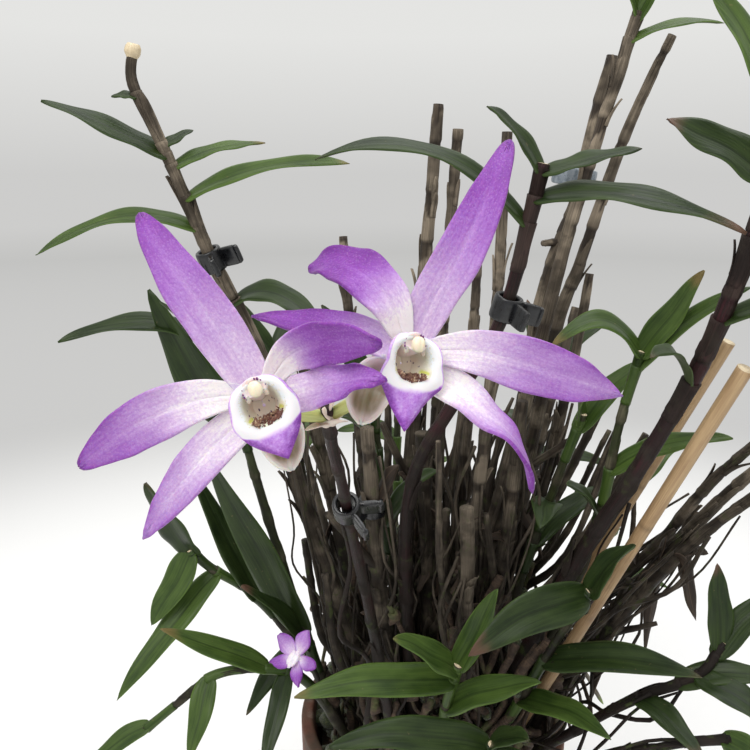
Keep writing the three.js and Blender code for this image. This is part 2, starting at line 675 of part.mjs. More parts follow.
// The lip's outer edge round the cup, turned by an angle from straight down: almost straight from its
// point to each corner, and narrower round the side lobes.
function lipReach(turn, { point, corner, cornerAt, bulge }) {
  const away = Math.abs(turn);
  if (away > cornerAt) {
    return mix(corner, LIP_SIDE, THREE.MathUtils.smoothstep(away, cornerAt, cornerAt + LIP_BLEND));
  }
  const toPoint = corner * Math.sin(cornerAt - away);
  const toCorner = point * Math.sin(away);
  const straight = (point * corner * Math.sin(cornerAt)) / (toPoint + toCorner);
  return straight + bulge * Math.sin((Math.PI * away) / cornerAt);
}

function lip(bloom) {
  return blade((across, along) => {
    const turn = across * mix(1.9, 2.75, along);
    const cup = Math.hypot(CUP_WIDTH * Math.sin(turn), CUP_HEIGHT * Math.cos(turn));
    const flare = Math.max(0, (along - 0.6) / 0.4);
    const radius = along < 0.6 ? (cup * (along + 0.05)) / 0.65 : mix(cup, lipReach(turn, bloom.lip), flare);
    const wall = THREE.MathUtils.smoothstep(along, 0.3, 0.65);
    const lobe = Math.sin(Math.min(Math.PI / 2, Math.abs(turn))) ** 4;
    const depth = mix(LIP_FLOOR, LIP_CREST, wall) + (LIP_RISE * lobe - LIP_DROOP) * flare * flare;
    return inBloom(bloom, new THREE.Vector3(-radius * Math.sin(turn), -radius * Math.cos(turn), depth));
  }, 10, 4, LIP_THICK);
}

// The column with the anther cap on its end.
function column(bloom) {
  const route = smooth([[0, 2.2, 2], [0, 2.6, 3.2], [0, 2.8, 4.3]]);
  const post = bent(new THREE.CylinderGeometry(1, 1, 1, 8, 2), (share, x, z) => {
    const middle = route.getPoint(share);
    return inBloom(bloom, new THREE.Vector3(middle.x - x * mix(1.3, 1.5, share), middle.y + z, middle.z));
  });
  const cap = placed(new THREE.SphereGeometry(1.1, 8, 5), (p) => {
    return inBloom(bloom, new THREE.Vector3(p.x, p.y + 2.5, p.z + 4.7));
  });
  return post.add(solidFrom(cap));
}

// The stalk from the flowering cane to the back of a bloom.
function pedicel(bloom) {
  const curve = caneCurve(FLOWER_CANE);
  const start = curve.getPointAt(0.985);
  const middle = vector(bloom.heart).multiplyScalar(HUB_SHIFT);
  const end = inPlane(bloom, middle.clone().setZ(-HUB_DEPTH));
  const behind = inPlane(bloom, middle.clone().add(new THREE.Vector3(0, -1.5, -9)));
  const route = new THREE.CatmullRomCurve3([start, behind, end], false, "centripetal");
  const stalk = stem(route, (share) => mix(...STALK_RADII, share), 6, 6);
  const taken = [caneStem(FLOWER_CANE, GAP), hub(bloom, GAP), chin(bloom, GAP)];
  return largest(taken.reduce((rest, one) => rest.subtract(one), stalk));
}

// Pot, mix, stakes and clips

function lathe(profile, segments) {
  const turned = new THREE.LatheGeometry(profile.map(([r, z]) => new THREE.Vector2(r, z)), segments);
  return solidFrom(turned.rotateX(Math.PI / 2));
}

const potInside = (z) => mix(POT_BASE_RADIUS - POT_WALL, POT_RIM_RADIUS - POT_WALL, z / POT_HEIGHT);

function pot() {
  const shoulder = POT_HEIGHT - POT_BAND_HEIGHT;
  const bodyTop = mix(POT_BASE_RADIUS, POT_RIM_RADIUS - POT_BAND_OUT, shoulder / POT_HEIGHT);
  const profile = [
    [0, 0], [POT_BASE_RADIUS - 1, 0], [POT_BASE_RADIUS, 1], [bodyTop, shoulder],
    [POT_RIM_RADIUS - 0.6, shoulder + 1], [POT_RIM_RADIUS, POT_HEIGHT - 1.2],
    [POT_RIM_RADIUS - 1.2, POT_HEIGHT],
    [potInside(POT_HEIGHT), POT_HEIGHT], [potInside(POT_WALL), POT_WALL], [0, POT_WALL],
  ];
  let whole = lathe(profile, 28);
  for (let turn = 0; turn < 3; turn++) {
    const angle = (2 * Math.PI * turn) / 3 + Math.PI / 2;
    const hole = new THREE.CylinderGeometry(DRAIN_RADIUS, DRAIN_RADIUS, 4 * POT_WALL, 8).rotateX(Math.PI / 2);
    hole.translate(DRAIN_RING * Math.cos(angle), DRAIN_RING * Math.sin(angle), 0);
    whole = whole.subtract(solidFrom(hole));
  }
  return whole;
}

// The mix: a filling just inside the pot, with bark chips half sunk in its top, cut clear of all that
// stands in it.
function pottingMix(standing) {
  const random = seededRandom(11);
  const bottom = POT_WALL + GAP;
  const top = SOIL - 2;
  const foot = potInside(bottom) - GAP;
  const brim = potInside(top) - 3 * GAP;
  let whole = lathe([[0, bottom], [foot, bottom], [brim, top], [0, top]], 24);
  for (let chip = 0; chip < CHIP_COUNT; chip++) {
    const angle = chip * GOLDEN_ANGLE;
    const reach = (potInside(SOIL) - CHIP.margin) * Math.sqrt((chip + 0.5) / CHIP_COUNT);
    const size = [CHIP.long, CHIP.wide, CHIP.thick].map((range) => mix(...range, random()));
    const tilt = () => mix(-CHIP.tilt, CHIP.tilt, random());
    const box = new THREE.BoxGeometry(...size);
    box.rotateX(tilt()).rotateY(tilt()).rotateZ(2 * Math.PI * random());
    box.translate(reach * Math.cos(angle), reach * Math.sin(angle), top + mix(...CHIP.rise, random()));
    whole = whole.add(solidFrom(box));
  }
  return largest(standing.reduce((rest, one) => rest.subtract(one), whole));
}

// A plain straight hole for a cane's foot, wide enough for the cane whichever way its sides face.
function footHole({ foot: [x, y], thick }) {
  const radius = (thick[0] / 2 + GAP) / Math.cos(Math.PI / CANE_SIDES);
  const depth = ROOTING_DEPTH + 2 * GAP + HOLE_OVER;
  const hole = new THREE.CylinderGeometry(radius, radius, depth, CANE_SIDES).rotateX(Math.PI / 2);
  return solidFrom(hole.translate(x, y, SOIL + HOLE_OVER - depth / 2));
}

function stake({ foot: [x, y], radius, tip }, grown = 0) {
  const top = vector(tip);
  const level = new THREE.Vector3(x, y, SOIL);
  const down = level.clone().sub(top).setLength(STAKE_DEPTH + grown);
  const line = new THREE.LineCurve3(level.clone().add(down), top);
  return stem(line, () => radius + grown, 8, 1);
}

function aerialRoot({ foot: [x, y], path }, grown = 0) {
  const curve = smooth([[x, y, SOIL - 8 - grown], [x, y, SOIL], [x, y, SOIL + 4], ...path]);
  return stem(curve, (share) => mix(0.9, 0.6, share) + grown, 5, 6);
}

// A spring clip: a collar round the cane with two finger tabs.
function clip({ cane, at, turn }) {
  const round = canes.get(cane);
  const curve = caneCurve(round);
  const radius = mix(round.thick[0], round.thick[1], at) / 2;
  const place = new THREE.Object3D();
  place.position.copy(curve.getPointAt(at));
  place.quaternion.setFromUnitVectors(new THREE.Vector3(0, 1, 0), curve.getTangentAt(at));
  place.updateMatrix();
  const collar = new THREE.CylinderGeometry(radius + CLIP.wall, radius + CLIP.wall, CLIP.length, 7);
  const bore = new THREE.CylinderGeometry(radius + 2 * GAP, radius + 2 * GAP, 4 * CLIP.length, 7);
  const tabs = [-CLIP.spread, CLIP.spread].map((open) => {
    const tab = new THREE.BoxGeometry(...CLIP.tab);
    return tab.translate(0, 0, radius + CLIP.tabOut).rotateY(turn + open);
  });
  const [inside, ...parts] = [bore, collar, ...tabs].map((one) => solidFrom(one.applyMatrix4(place.matrix)));
  return joined(parts).subtract(inside);
}

// The small third bloom, low on the left, and the stalk that it stands on.
function smallBloom() {
  const frame = new THREE.Object3D();
  frame.position.set(...small.centre);
  frame.lookAt(vector(small.centre).add(vector(small.out)));
  frame.updateMatrix();
  const parts = [];
  for (let turn = 0; turn < 5; turn++) {
    const angle = (2 * Math.PI * turn) / 5 + 0.3;
    const along = new THREE.Vector3(Math.sin(angle), Math.cos(angle), 0);
    const across = new THREE.Vector3(Math.cos(angle), -Math.sin(angle), 0);
    parts.push(blade((u, v) => {
      const half = (SMALL_PETAL_WIDTH / 2) * petalWidth(v);
      const reach = SMALL_PETAL_LENGTH * v + 0.6;
      const point = along.clone().multiplyScalar(reach).addScaledVector(across, half * u);
      point.z = 2.2 * v - 1.5 * v * v + 0.3 * u * u;
      return point.applyMatrix4(frame.matrix);
    }, 2, 2, PETAL_THICK));
  }
  const heart = new THREE.SphereGeometry(SMALL_HEART_RADIUS, 7, 4).translate(0, 0, -0.2);
  const lobe = new THREE.ConeGeometry(1.5, 4, 6).rotateX(-2).translate(0, -1.2, 1.4);
  parts.push(...[heart, lobe].map((one) => solidFrom(one.applyMatrix4(frame.matrix))));
  return joined(parts);
}

function smallStalk() {
  const start = caneCurve(canes.get(small.cane)).getPointAt(small.at);
  const end = vector(small.centre).addScaledVector(vector(small.out).normalize(), -SMALL_HEART_RADIUS - GAP);
  const middle = start.clone().lerp(end, 0.5).add(new THREE.Vector3(0, 2, 1));
  const route = new THREE.CatmullRomCurve3([start, middle, end]);
  return stem(route, () => SMALL_STALK_RADIUS, 6, 4);
}

// Assembly

const plant = new THREE.Group();
plant.name = "potted_dendrobium";

function add(name, solid, colour, roughness = 0.7, metalness = 0) {
  const material = new THREE.MeshStandardMaterial({ color: COLOURS[colour], roughness, metalness });
  const mesh = new THREE.Mesh(geometryFrom(solid), material);
  mesh.name = name;
  plant.add(mesh);
}

const canes = new Map([...OLD_CANES, ...LEAFY_CANES, FLOWER_CANE].map((cane) => [cane.name, cane]));
const holes = [
  ...[...canes.values()].map(footHole),
  ...STAKES.map((one) => stake(one, GAP)),
  ...AERIAL_ROOTS.map((one) => aerialRoot(one, GAP)),
];

add("pot", pot(), "pot", 0.8);
add("potting_mix", pottingMix(holes), "bark", 0.95);
for (const cane of OLD_CANES) add(cane.name, oldCane(cane), "oldCane", 0.85);
for (const cane of LEAFY_CANES) {
  const whole = cane.name === small.cane ? leafyCane(cane).add(smallStalk()) : leafyCane(cane);
  add(cane.name, whole, cane.colour, 0.55);
}
add(FLOWER_CANE.name, caneStem(FLOWER_CANE), "youngCane", 0.6);
for (const root of AERIAL_ROOTS) add(root.name, aerialRoot(root), "root", 0.8);
for (const one of STAKES) add(one.name, stake(one), "bamboo", 0.6);
for (const one of CLIPS) add(one.name, clip(one), "clip", 0.3);
for (const bloom of BLOOMS) {
  add(bloom.name + "_petals", perianth(bloom), "petal", 0.5);
  add(bloom.name + "_lip", lip(bloom), "lip", 0.5);
  add(bloom.name + "_column", column(bloom), "column", 0.4);
  add(bloom.name + "_pedicel", pedicel(bloom), "pedicel", 0.5);
}
add("small_bloom", smallBloom(), "petal", 0.5);

export default plant;
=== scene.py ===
"""A potted Dendrobium moniliforme: fine canes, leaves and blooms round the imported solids.

Lengths are in millimetres until a piece is made, which turns them into metres.
"""

import math

import bpy
import numpy as np
from mathutils import Matrix, Vector


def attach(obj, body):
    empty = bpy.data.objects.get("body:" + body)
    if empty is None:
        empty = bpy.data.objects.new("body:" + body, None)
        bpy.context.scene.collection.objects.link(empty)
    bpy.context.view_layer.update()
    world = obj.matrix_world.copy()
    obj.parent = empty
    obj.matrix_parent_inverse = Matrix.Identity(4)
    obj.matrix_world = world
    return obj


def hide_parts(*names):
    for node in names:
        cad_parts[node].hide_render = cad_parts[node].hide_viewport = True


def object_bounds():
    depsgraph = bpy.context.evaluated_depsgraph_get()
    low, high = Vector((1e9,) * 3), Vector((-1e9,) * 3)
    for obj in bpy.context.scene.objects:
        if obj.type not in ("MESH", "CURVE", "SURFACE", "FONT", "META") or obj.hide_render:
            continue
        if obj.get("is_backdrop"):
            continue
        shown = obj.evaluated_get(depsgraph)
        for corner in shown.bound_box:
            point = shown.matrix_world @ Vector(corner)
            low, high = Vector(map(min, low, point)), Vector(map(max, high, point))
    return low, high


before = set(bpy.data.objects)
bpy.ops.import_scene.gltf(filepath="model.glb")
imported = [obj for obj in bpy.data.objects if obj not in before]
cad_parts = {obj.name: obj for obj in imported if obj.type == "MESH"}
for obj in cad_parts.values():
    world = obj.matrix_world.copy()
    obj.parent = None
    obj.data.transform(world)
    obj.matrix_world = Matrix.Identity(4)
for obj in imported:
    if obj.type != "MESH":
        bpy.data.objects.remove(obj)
cad_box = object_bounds()

MM = 0.001
FULL_TURN = 6.28

# The pot and what fills it
SOIL = 69
BED = SOIL - 1.5
MOUND = 11
POT_HEIGHT = 78
POT_RIM_RADIUS = 41
POT_BASE_RADIUS = 30
POT_WALL = 3.6
POT_BAND_HEIGHT = 13
POT_BAND_OUT = 2.2
DRAIN_RADIUS = 3
DRAIN_RING = 14
GAP = 0.35
BARK_CHIPS = 290
MOSS_CUSHIONS = 112
CREEPING_ROOTS = 70
DRY_ROOTS = 120

# Canes, stakes and leaves
ROOTING_DEPTH = 24
STAKE_DEPTH = 14
FIRST_RING = 5.0
RING_GAPS = (10, 15.5)
INTERNODE = 13
SPUR_SHARE = 0.34
TALL_CANE_DRYING = 0.34
DEAD_LEAVES = 9
LEAF_FOLD = 0.32
LEAF_FACE = (0, -0.5, 0.85)

# Blooms
BLOOM_LEAN = math.radians(15)
CHIN_HALF_WIDTH = 3.1
CHIN_SCOOP = 2.6
CUP_WIDTH = 2.6
CUP_HEIGHT = 2.75
CUP_SHARE = 0.6
CUP_START = 0.05
CUP_SCALE = 0.65
LIP_SIDE = 3.8
LIP_FLOOR = 2.4
LIP_CREST = 5.2
LIP_DROOP = 0.6
LIP_RISE = 1.6
LIP_BLEND = 0.6
LIP_CLOSING = (3.05, 2.98)
LIP_HAIRS = 860
BAND_HAIRS = 400
BAND_HALF = 2.1
HUB_RADIUS = 2.2
HUB_DEPTH = 1.4
HUB_SHIFT = 0.15
HOOD_FRONT = 5.95

# Each cane has its foot, its thickness at the foot and the tip, and its path above the mix. A spur has the
# share of the cane's length where it starts, and its path.
OLD_CANES = [
  dict(foot=[-9, 3], thick=[6, 2.8],
    path=[[-9, 5, 120], [-5, 8, 200], [-1, 10, 259]],
    spurs=[[0.5, [-16, 2, 172]], [0.31, [-13, 19, 132], [-14, 26, 179]]]),
  dict(foot=[-1, 9], thick=[5.4, 2.6],
    path=[[-1, 11, 120], [2, 14, 200], [5, 16, 253]],
    spurs=[[0.45, [7, 16, 160]], [0.4, [3, 6, 140], [8, 3, 189]], [0.28, [10, 1, 125], [15, -1, 175]]]),
  dict(foot=[9, 4], thick=[6.4, 3.4],
    path=[[16, 5, 130], [25, 5, 178], [28, 5, 204], [31, 4.5, 218], [36, 4, 234], [39, 3.5, 252],
      [42.5, 3, 270]],
    spurs=[[0.79, [27, 2, 223]], [0.29, [27, 7, 127], [51, 11, 177]]]),
  dict(foot=[10, -4], thick=[6.2, 1.9],
    path=[[18, -4, 125], [26, -4.5, 170], [31, -5, 204], [35.5, -6, 219], [39, -6, 232], [44, -7, 250],
      [48, -7.5, 261], [53, -8, 273]],
    spurs=[[0.5, [36, -10, 172]], [0.38, [14, -6, 148], [17, -6, 174]]]),
  dict(foot=[19, 1], thick=[4.6, 2.2],
    path=[[27, 1, 130], [37, 0, 190], [40, 1, 215]],
    spurs=[[0.43, [35, -11, 136], [45, -17, 174]], [0.44, [38, -1, 139], [52, -4, 180]]]),
  dict(foot=[3, -18], thick=[4.2, 2],
    path=[[6, -23, 130], [10, -29, 200], [11, -29, 250]],
    spurs=[[0.39, [-1, -34, 142], [-4, -46, 184]]]),
  dict(foot=[28, 4], thick=[4.6, 2.4],
    path=[[41, 4, 104], [57, 0, 125], [63.5, -6, 138], [73, -14, 161], [84, -20, 178]],
    spurs=[[0.6, [60, 6, 146]]]),
  dict(foot=[27, -5], thick=[4.8, 2.6],
    path=[[41, -8, 104], [54, -12, 125], [62, -19, 143], [69, -26, 160], [78, -33, 176]],
    spurs=[[0.55, [50, -22, 136]]]),
  dict(foot=[25, -12], thick=[4.2, 2.4],
    path=[[39, -16, 102], [52, -23, 130], [58, -28, 144], [64, -33, 156], [74, -40, 171]],
    spurs=[[0.55, [58, -24, 124]]]),
  dict(foot=[-19, 2], thick=[5.6, 2.8],
    path=[[-26, 5, 120], [-36, 10, 170], [-42, 13, 205]],
    spurs=[[0.27, [-33, -1, 102], [-39, 1, 136]], [0.42, [-31, 13, 125], [-43, 24, 166]]]),
  dict(foot=[-14, 12], thick=[5.6, 2.6],
    path=[[-18, 20, 120], [-25, 32, 180], [-28, 38, 222]],
    spurs=[
      [0.6, [-14, 32, 174]], [0.31, [-21, 29, 115], [-24, 34, 144]], [0.26, [-23, 15, 104], [-25, 22, 141]],
    ]),
  dict(foot=[7, 17], thick=[5.4, 2.6],
    path=[[10, 26, 120], [14, 40, 180], [16, 47, 214]],
    spurs=[[0.5, [20, 34, 160]], [0.35, [10, 40, 124], [13, 50, 171]]]),
  dict(foot=[16, 16], thick=[5, 2.6],
    path=[[26, 21, 120], [38, 28, 170], [46, 34, 200]],
    spurs=[[0.38, [35, 16, 121], [54, 16, 165]], [0.47, [29, 17, 128], [39, 21, 170]]]),
  dict(foot=[0, -1], thick=[6, 3.8],
    path=[[-1, -3, 100], [-3, -5, 140], [-5, -6, 172]], spurs=[[0.49, [1, -12, 118], [1, -19, 155]]]),
  dict(foot=[-3, 18], thick=[5, 3.6],
    path=[[-3, 24, 100], [-5, 31, 140]], spurs=[]),
  dict(foot=[-12, -16], thick=[5.4, 3.2],
    path=[[-15, -19, 112], [-18, -23, 148], [-20, -25, 180]],
    spurs=[[0.7, [-30, -32, 160]], [0.33, [-27, -25, 111], [-31, -28, 141]]]),
  dict(foot=[2, -25], thick=[4.6, 3],
    path=[[4, -30, 108], [5, -35, 138], [4, -37, 164]], spurs=[[0.6, [13, -40, 134]]]),
  dict(foot=[9, -15], thick=[5.2, 3],
    path=[[13, -18, 110], [17, -21, 150], [19, -22, 186]],
    spurs=[[0.6, [10, -28, 158]], [0.49, [30, -20, 134], [50, -24, 178]]]),
]

# Each leaf has the share of the cane's length where it grows, its tip, how far it arches up, its width and,
# on some, the way its face looks.
LEAFY_CANES = [
  dict(name="tall_leafy_cane", colour="oldCane", foot=[-17, -8], thick=[5.2, 2.8],
    path=[[-26, -12, 115], [-38, -20, 162], [-44, -28, 195], [-49.5, -31, 211], [-54, -34.5, 222],
      [-56.5, -36.5, 230], [-59.5, -38.5, 239.5], [-62.5, -40, 248], [-65.5, -41, 255], [-67, -41, 260],
      [-66, -41, 266]],
    leaves=[
      [0.9, [-84, -45, 255], 1.5, 6], [0.86, [-23, -46, 243], 6, 6], [0.89, [-42, -30, 247.5], 3, 4],
      [0.91, [-56.5, -35, 250], 0.5, 3], [0.955, [-71, -42, 256], 0.5, 3], [0.83, [-89, -44, 224.5], 10, 5],
      [0.75, [-28, -42, 207], 10, 7],
    ]),
  dict(name="maroon_cane_centre", colour="youngCane", foot=[-5, -18], thick=[4.6, 2.6],
    path=[[-9, -21, 120], [-9, -32, 168], [0, -43, 193], [8, -50, 212], [12, -53, 232], [14, -54, 243]],
    leaves=[
      [0.99, [2.5, -56, 253], 4, 4.5], [0.99, [30.5, -60, 245.5], 0.5, 5], [0.965, [46, -71, 231], 7, 7],
      [0.94, [-29, -60, 243.5], 16, 5.5],
    ]),
  dict(name="grey_cane_leafy_top", colour="oldCane", foot=[5, -9], thick=[5, 2.4],
    path=[[12, -11, 130], [22, -13, 185], [30, -14, 228], [34, -14, 244], [36.5, -14, 254.5],
      [39, -14, 263], [41, -13.5, 271], [43, -13, 277]],
    leaves=[[0.995, [37.5, -16, 290], 0, 4], [0.97, [60, -20, 273.5], 4, 4], [0.99, [49, -17, 288], 2, 4]]),
  dict(name="maroon_cane_right", colour="youngCane", foot=[16.5, -13.5], thick=[5.2, 3],
    path=[[23, -24, 115], [32, -36, 150], [41, -46, 178], [48.5, -53, 203], [50.5, -60, 221],
      [52, -64, 236], [55, -66, 250]],
    leaves=[
      [0.95, [34, -61, 250.5], 1.5, 8.5, [0.3, -0.8, 0.5]], [0.99, [39, -61, 272], 3, 8, [0.3, -0.8, 0.4]],
      [0.75, [33, -67, 208], 8, 5],
      [0.9, [80, -62, 240], 10, 7], [0.82, [78, -78, 212], 12, 6],
    ]),
  dict(name="green_shoot_right", colour="shoot", foot=[19, -19], thick=[3.4, 2],
    path=[[26, -26, 110], [33, -28, 135], [38, -30, 158], [40.5, -32, 184], [43, -35, 202]],
    leaves=[
      [0.99, [53, -40, 221], 0, 6], [0.99, [21, -40, 204], 14, 6], [0.97, [62, -44, 218], 6, 5],
      [0.8, [62, -44, 184], 6, 6], [0.72, [26, -42, 172], 4, 6],
    ]),
  dict(name="trailing_cane_left", colour="shoot", foot=[-28, -3], thick=[3.2, 2],
    path=[[-36, -7, 98], [-47, -10, 117], [-54, -15, 129], [-63, -20, 139], [-67, -22, 145]],
    leaves=[
      [0.98, [-75.5, -28, 166.5], -2, 9, [-0.5, -0.8, 0.3]], [0.76, [-63, -31, 171], 0, 7],
      [0.99, [-77, -28, 126], -1, 8], [0.9, [-85, -36, 109], 3, 7], [0.56, [-52, -34, 103], 4, 6],
    ]),
  dict(name="low_cane_left", colour="shoot", foot=[-22, -18], thick=[3, 1.8],
    path=[[-30, -23, 94], [-39, -27, 110], [-50, -31, 115], [-60, -33, 114.5], [-69, -34, 107.5],
      [-79, -35, 99]],
    leaves=[
      [0.98, [-96, -38, 88], 3, 5], [0.8, [-65, -44, 98], 2, 6], [0.67, [-71, -40, 133], 1, 6],
      [0.62, [-46, -48, 96], 4, 5],
    ]),
  dict(name="broad_leafed_shoot", colour="darkLeaf", foot=[-26, -11], thick=[3.4, 2],
    path=[[-36, -17, 110], [-45, -22, 150], [-52, -25, 182], [-58, -28, 204]],
    leaves=[
      [0.86, [-69, -34, 216], -8, 10, [-0.2, -0.9, 0.3]], [0.99, [-89, -38, 204.5], 9, 6],
      [0.45, [-58, -36, 178], -2, 9, [-0.2, -0.9, 0.3]], [0.42, [-50, -42, 146], 4, 7],
      [0.97, [-64, -44, 215], 2, 5],
    ]),
  dict(name="trailing_cane_right", colour="youngCane", foot=[24, -18], thick=[3.4, 2],
    path=[[35, -32, 96], [48, -41, 114], [61, -45, 124], [66, -44, 132]],
    leaves=[
      [0.98, [63, -42, 152], 2, 6], [0.96, [80, -42, 146], 4, 6], [0.9, [74, -60, 118], 4, 7],
      [0.75, [57, -60, 112], 4, 6], [0.85, [78, -50, 126], 5, 6],
    ]),
  dict(name="low_cane_right", colour="youngCane", foot=[14.5, -26], thick=[3.2, 2],
    path=[[26, -40, 92], [42, -49, 104], [56, -52, 110], [66, -53, 112]],
    leaves=[[0.98, [80, -60, 100], 4, 7], [0.8, [58, -68, 96], 4, 6], [0.6, [34, -60, 98], 4, 6]]),
  dict(name="front_shoot_left", colour="shoot", foot=[-2, -28], thick=[3, 2],
    path=[[-1, -36, 96], [0, -44, 116], [2, -47, 128]],
    leaves=[
      [0.97, [-14, -57, 142], 2, 7], [0.93, [-36, -60, 129], 4, 8],
      [0.8, [20, -55, 129], 4, 7], [0.98, [10, -50, 150], 1, 6],
    ]),
  dict(name="front_shoot_middle", colour="shoot", foot=[6.5, -29], thick=[3, 2],
    path=[[8, -42, 90], [8, -52, 104], [9, -57, 114]],
    leaves=[[0.97, [-28, -67, 122], 7, 8], [0.9, [28, -70, 104], 5, 8], [0.98, [14, -70, 126], 3, 7]]),
  dict(name="front_shoot_right", colour="shoot", foot=[12, -20], thick=[3.2, 2],
    path=[[20, -32, 105], [28, -40, 132], [33, -44, 146]],
    leaves=[
      [0.98, [2, -62, 141], 5, 9, [0.1, -0.8, 0.6]], [0.99, [38, -56, 164], 3, 7],
      [0.75, [54, -60, 134], 5, 8],
      [0.6, [36, -58, 116], 5, 7],
    ]),
  dict(name="inner_leafy_shoot", colour="darkLeaf", foot=[-7, -7], thick=[3.6, 2.2],
    path=[[-12, -9, 120], [-17, -11, 165], [-19, -12, 190]],
    leaves=[
      [0.98, [-10, -22, 212], 2, 6], [0.95, [-32, -8, 208], 4, 6],
      [0.85, [-28, -28, 184], 6, 7], [0.7, [-2, -24, 168], 6, 7],
    ]),
  dict(name="middle_leafy_shoot", colour="darkLeaf", foot=[13.5, -9], thick=[3.4, 2.2],
    path=[[21, -11, 120], [30, -16, 160], [35, -20, 182]],
    leaves=[
      [0.98, [30, -30, 198], 3, 7], [0.96, [52, -18, 196], 5, 6], [0.8, [22, -36, 158], 4, 7],
      [0.7, [48, -6, 156], 6, 6],
    ]),
  dict(name="back_shoot_left", colour="youngCane", foot=[-24, 14], thick=[3.8, 2.2],
    path=[[-34, 22, 115], [-46, 32, 160], [-52, 38, 186]],
    leaves=[
      [0.98, [-66, 34, 204], 4, 6], [0.96, [-44, 54, 200], 4, 6], [0.84, [-74, 46, 168], 8, 7],
      [0.75, [-34, 58, 160], 8, 7],
    ]),
  dict(name="back_shoot_middle", colour="shoot", foot=[-10, 27], thick=[3.4, 2.2],
    path=[[-11, 40, 112], [-10, 52, 150], [-10, 57, 172]],
    leaves=[
      [0.98, [-22, 66, 190], 3, 6], [0.97, [8, 66, 186], 5, 7], [0.82, [-32, 64, 148], 6, 7],
      [0.7, [12, 66, 136], 6, 7],
    ]),
  dict(name="back_shoot_right", colour="youngCane", foot=[14, 25], thick=[3.8, 2.4],
    path=[[24, 37, 112], [35, 48, 150], [41, 54, 176]],
    leaves=[
      [0.98, [36, 62, 198], 3, 6], [0.97, [62, 56, 190], 5, 7], [0.82, [30, 74, 152], 6, 7],
      [0.74, [64, 44, 142], 8, 7],
    ]),
  dict(name="side_shoot_right", colour="shoot", foot=[25, 13], thick=[3.2, 2],
    path=[[40, 17, 102], [56, 18, 130], [64, 17, 148]],
    leaves=[
      [0.98, [72, 10, 166], 3, 6], [0.97, [80, 26, 156], 5, 6], [0.8, [66, 36, 122], 5, 7],
      [0.7, [72, 4, 118], 5, 7],
    ]),
]

FLOWER_CANE = dict(name="flowering_cane", foot=[-10, -26], thick=[3.2, 2],
  path=[[-14, -34, 100], [-19, -48, 142], [-23, -63, 172], [-24, -76, 187], [-25, -88, 199],
    [-25, -98, 208]])

AERIAL_ROOTS = [
  dict(name="aerial_root_left", foot=[-31, 5], path=[[-37, 6, 86], [-45, 3, 92], [-53, 2, 84]]),
  dict(name="aerial_root_front", foot=[-15, -28],
    path=[[-17, -35, 86], [-20, -42, 92], [-26, -47, 86], [-29, -49, 76]]),
  dict(name="aerial_root_right", foot=[31, -1], path=[[36, -2, 90], [44, -3, 95], [52, -6, 84]]),
]

STAKES = [
  dict(name="bamboo_stake_front", foot=[21, -9], radius=1.7, tip=[55, -59, 204]),
  dict(name="bamboo_stake_back", foot=[22, 8], radius=1.6, tip=[65, -30, 203]),
]

CLIPS = [
  dict(name="clip_tall_cane", cane="tall_leafy_cane", at=0.8, turn=0.4),
  dict(name="clip_maroon_cane", cane="maroon_cane_centre", at=0.86, turn=1.2),
  dict(name="clip_grey_canes", cane="old_cane_03", at=0.865, turn=-1.2),
  dict(name="clip_flowering_cane", cane="flowering_cane", at=0.77, turn=1),
  dict(name="clip_low", cane="old_cane_16", at=0.84, turn=-1.2),
]

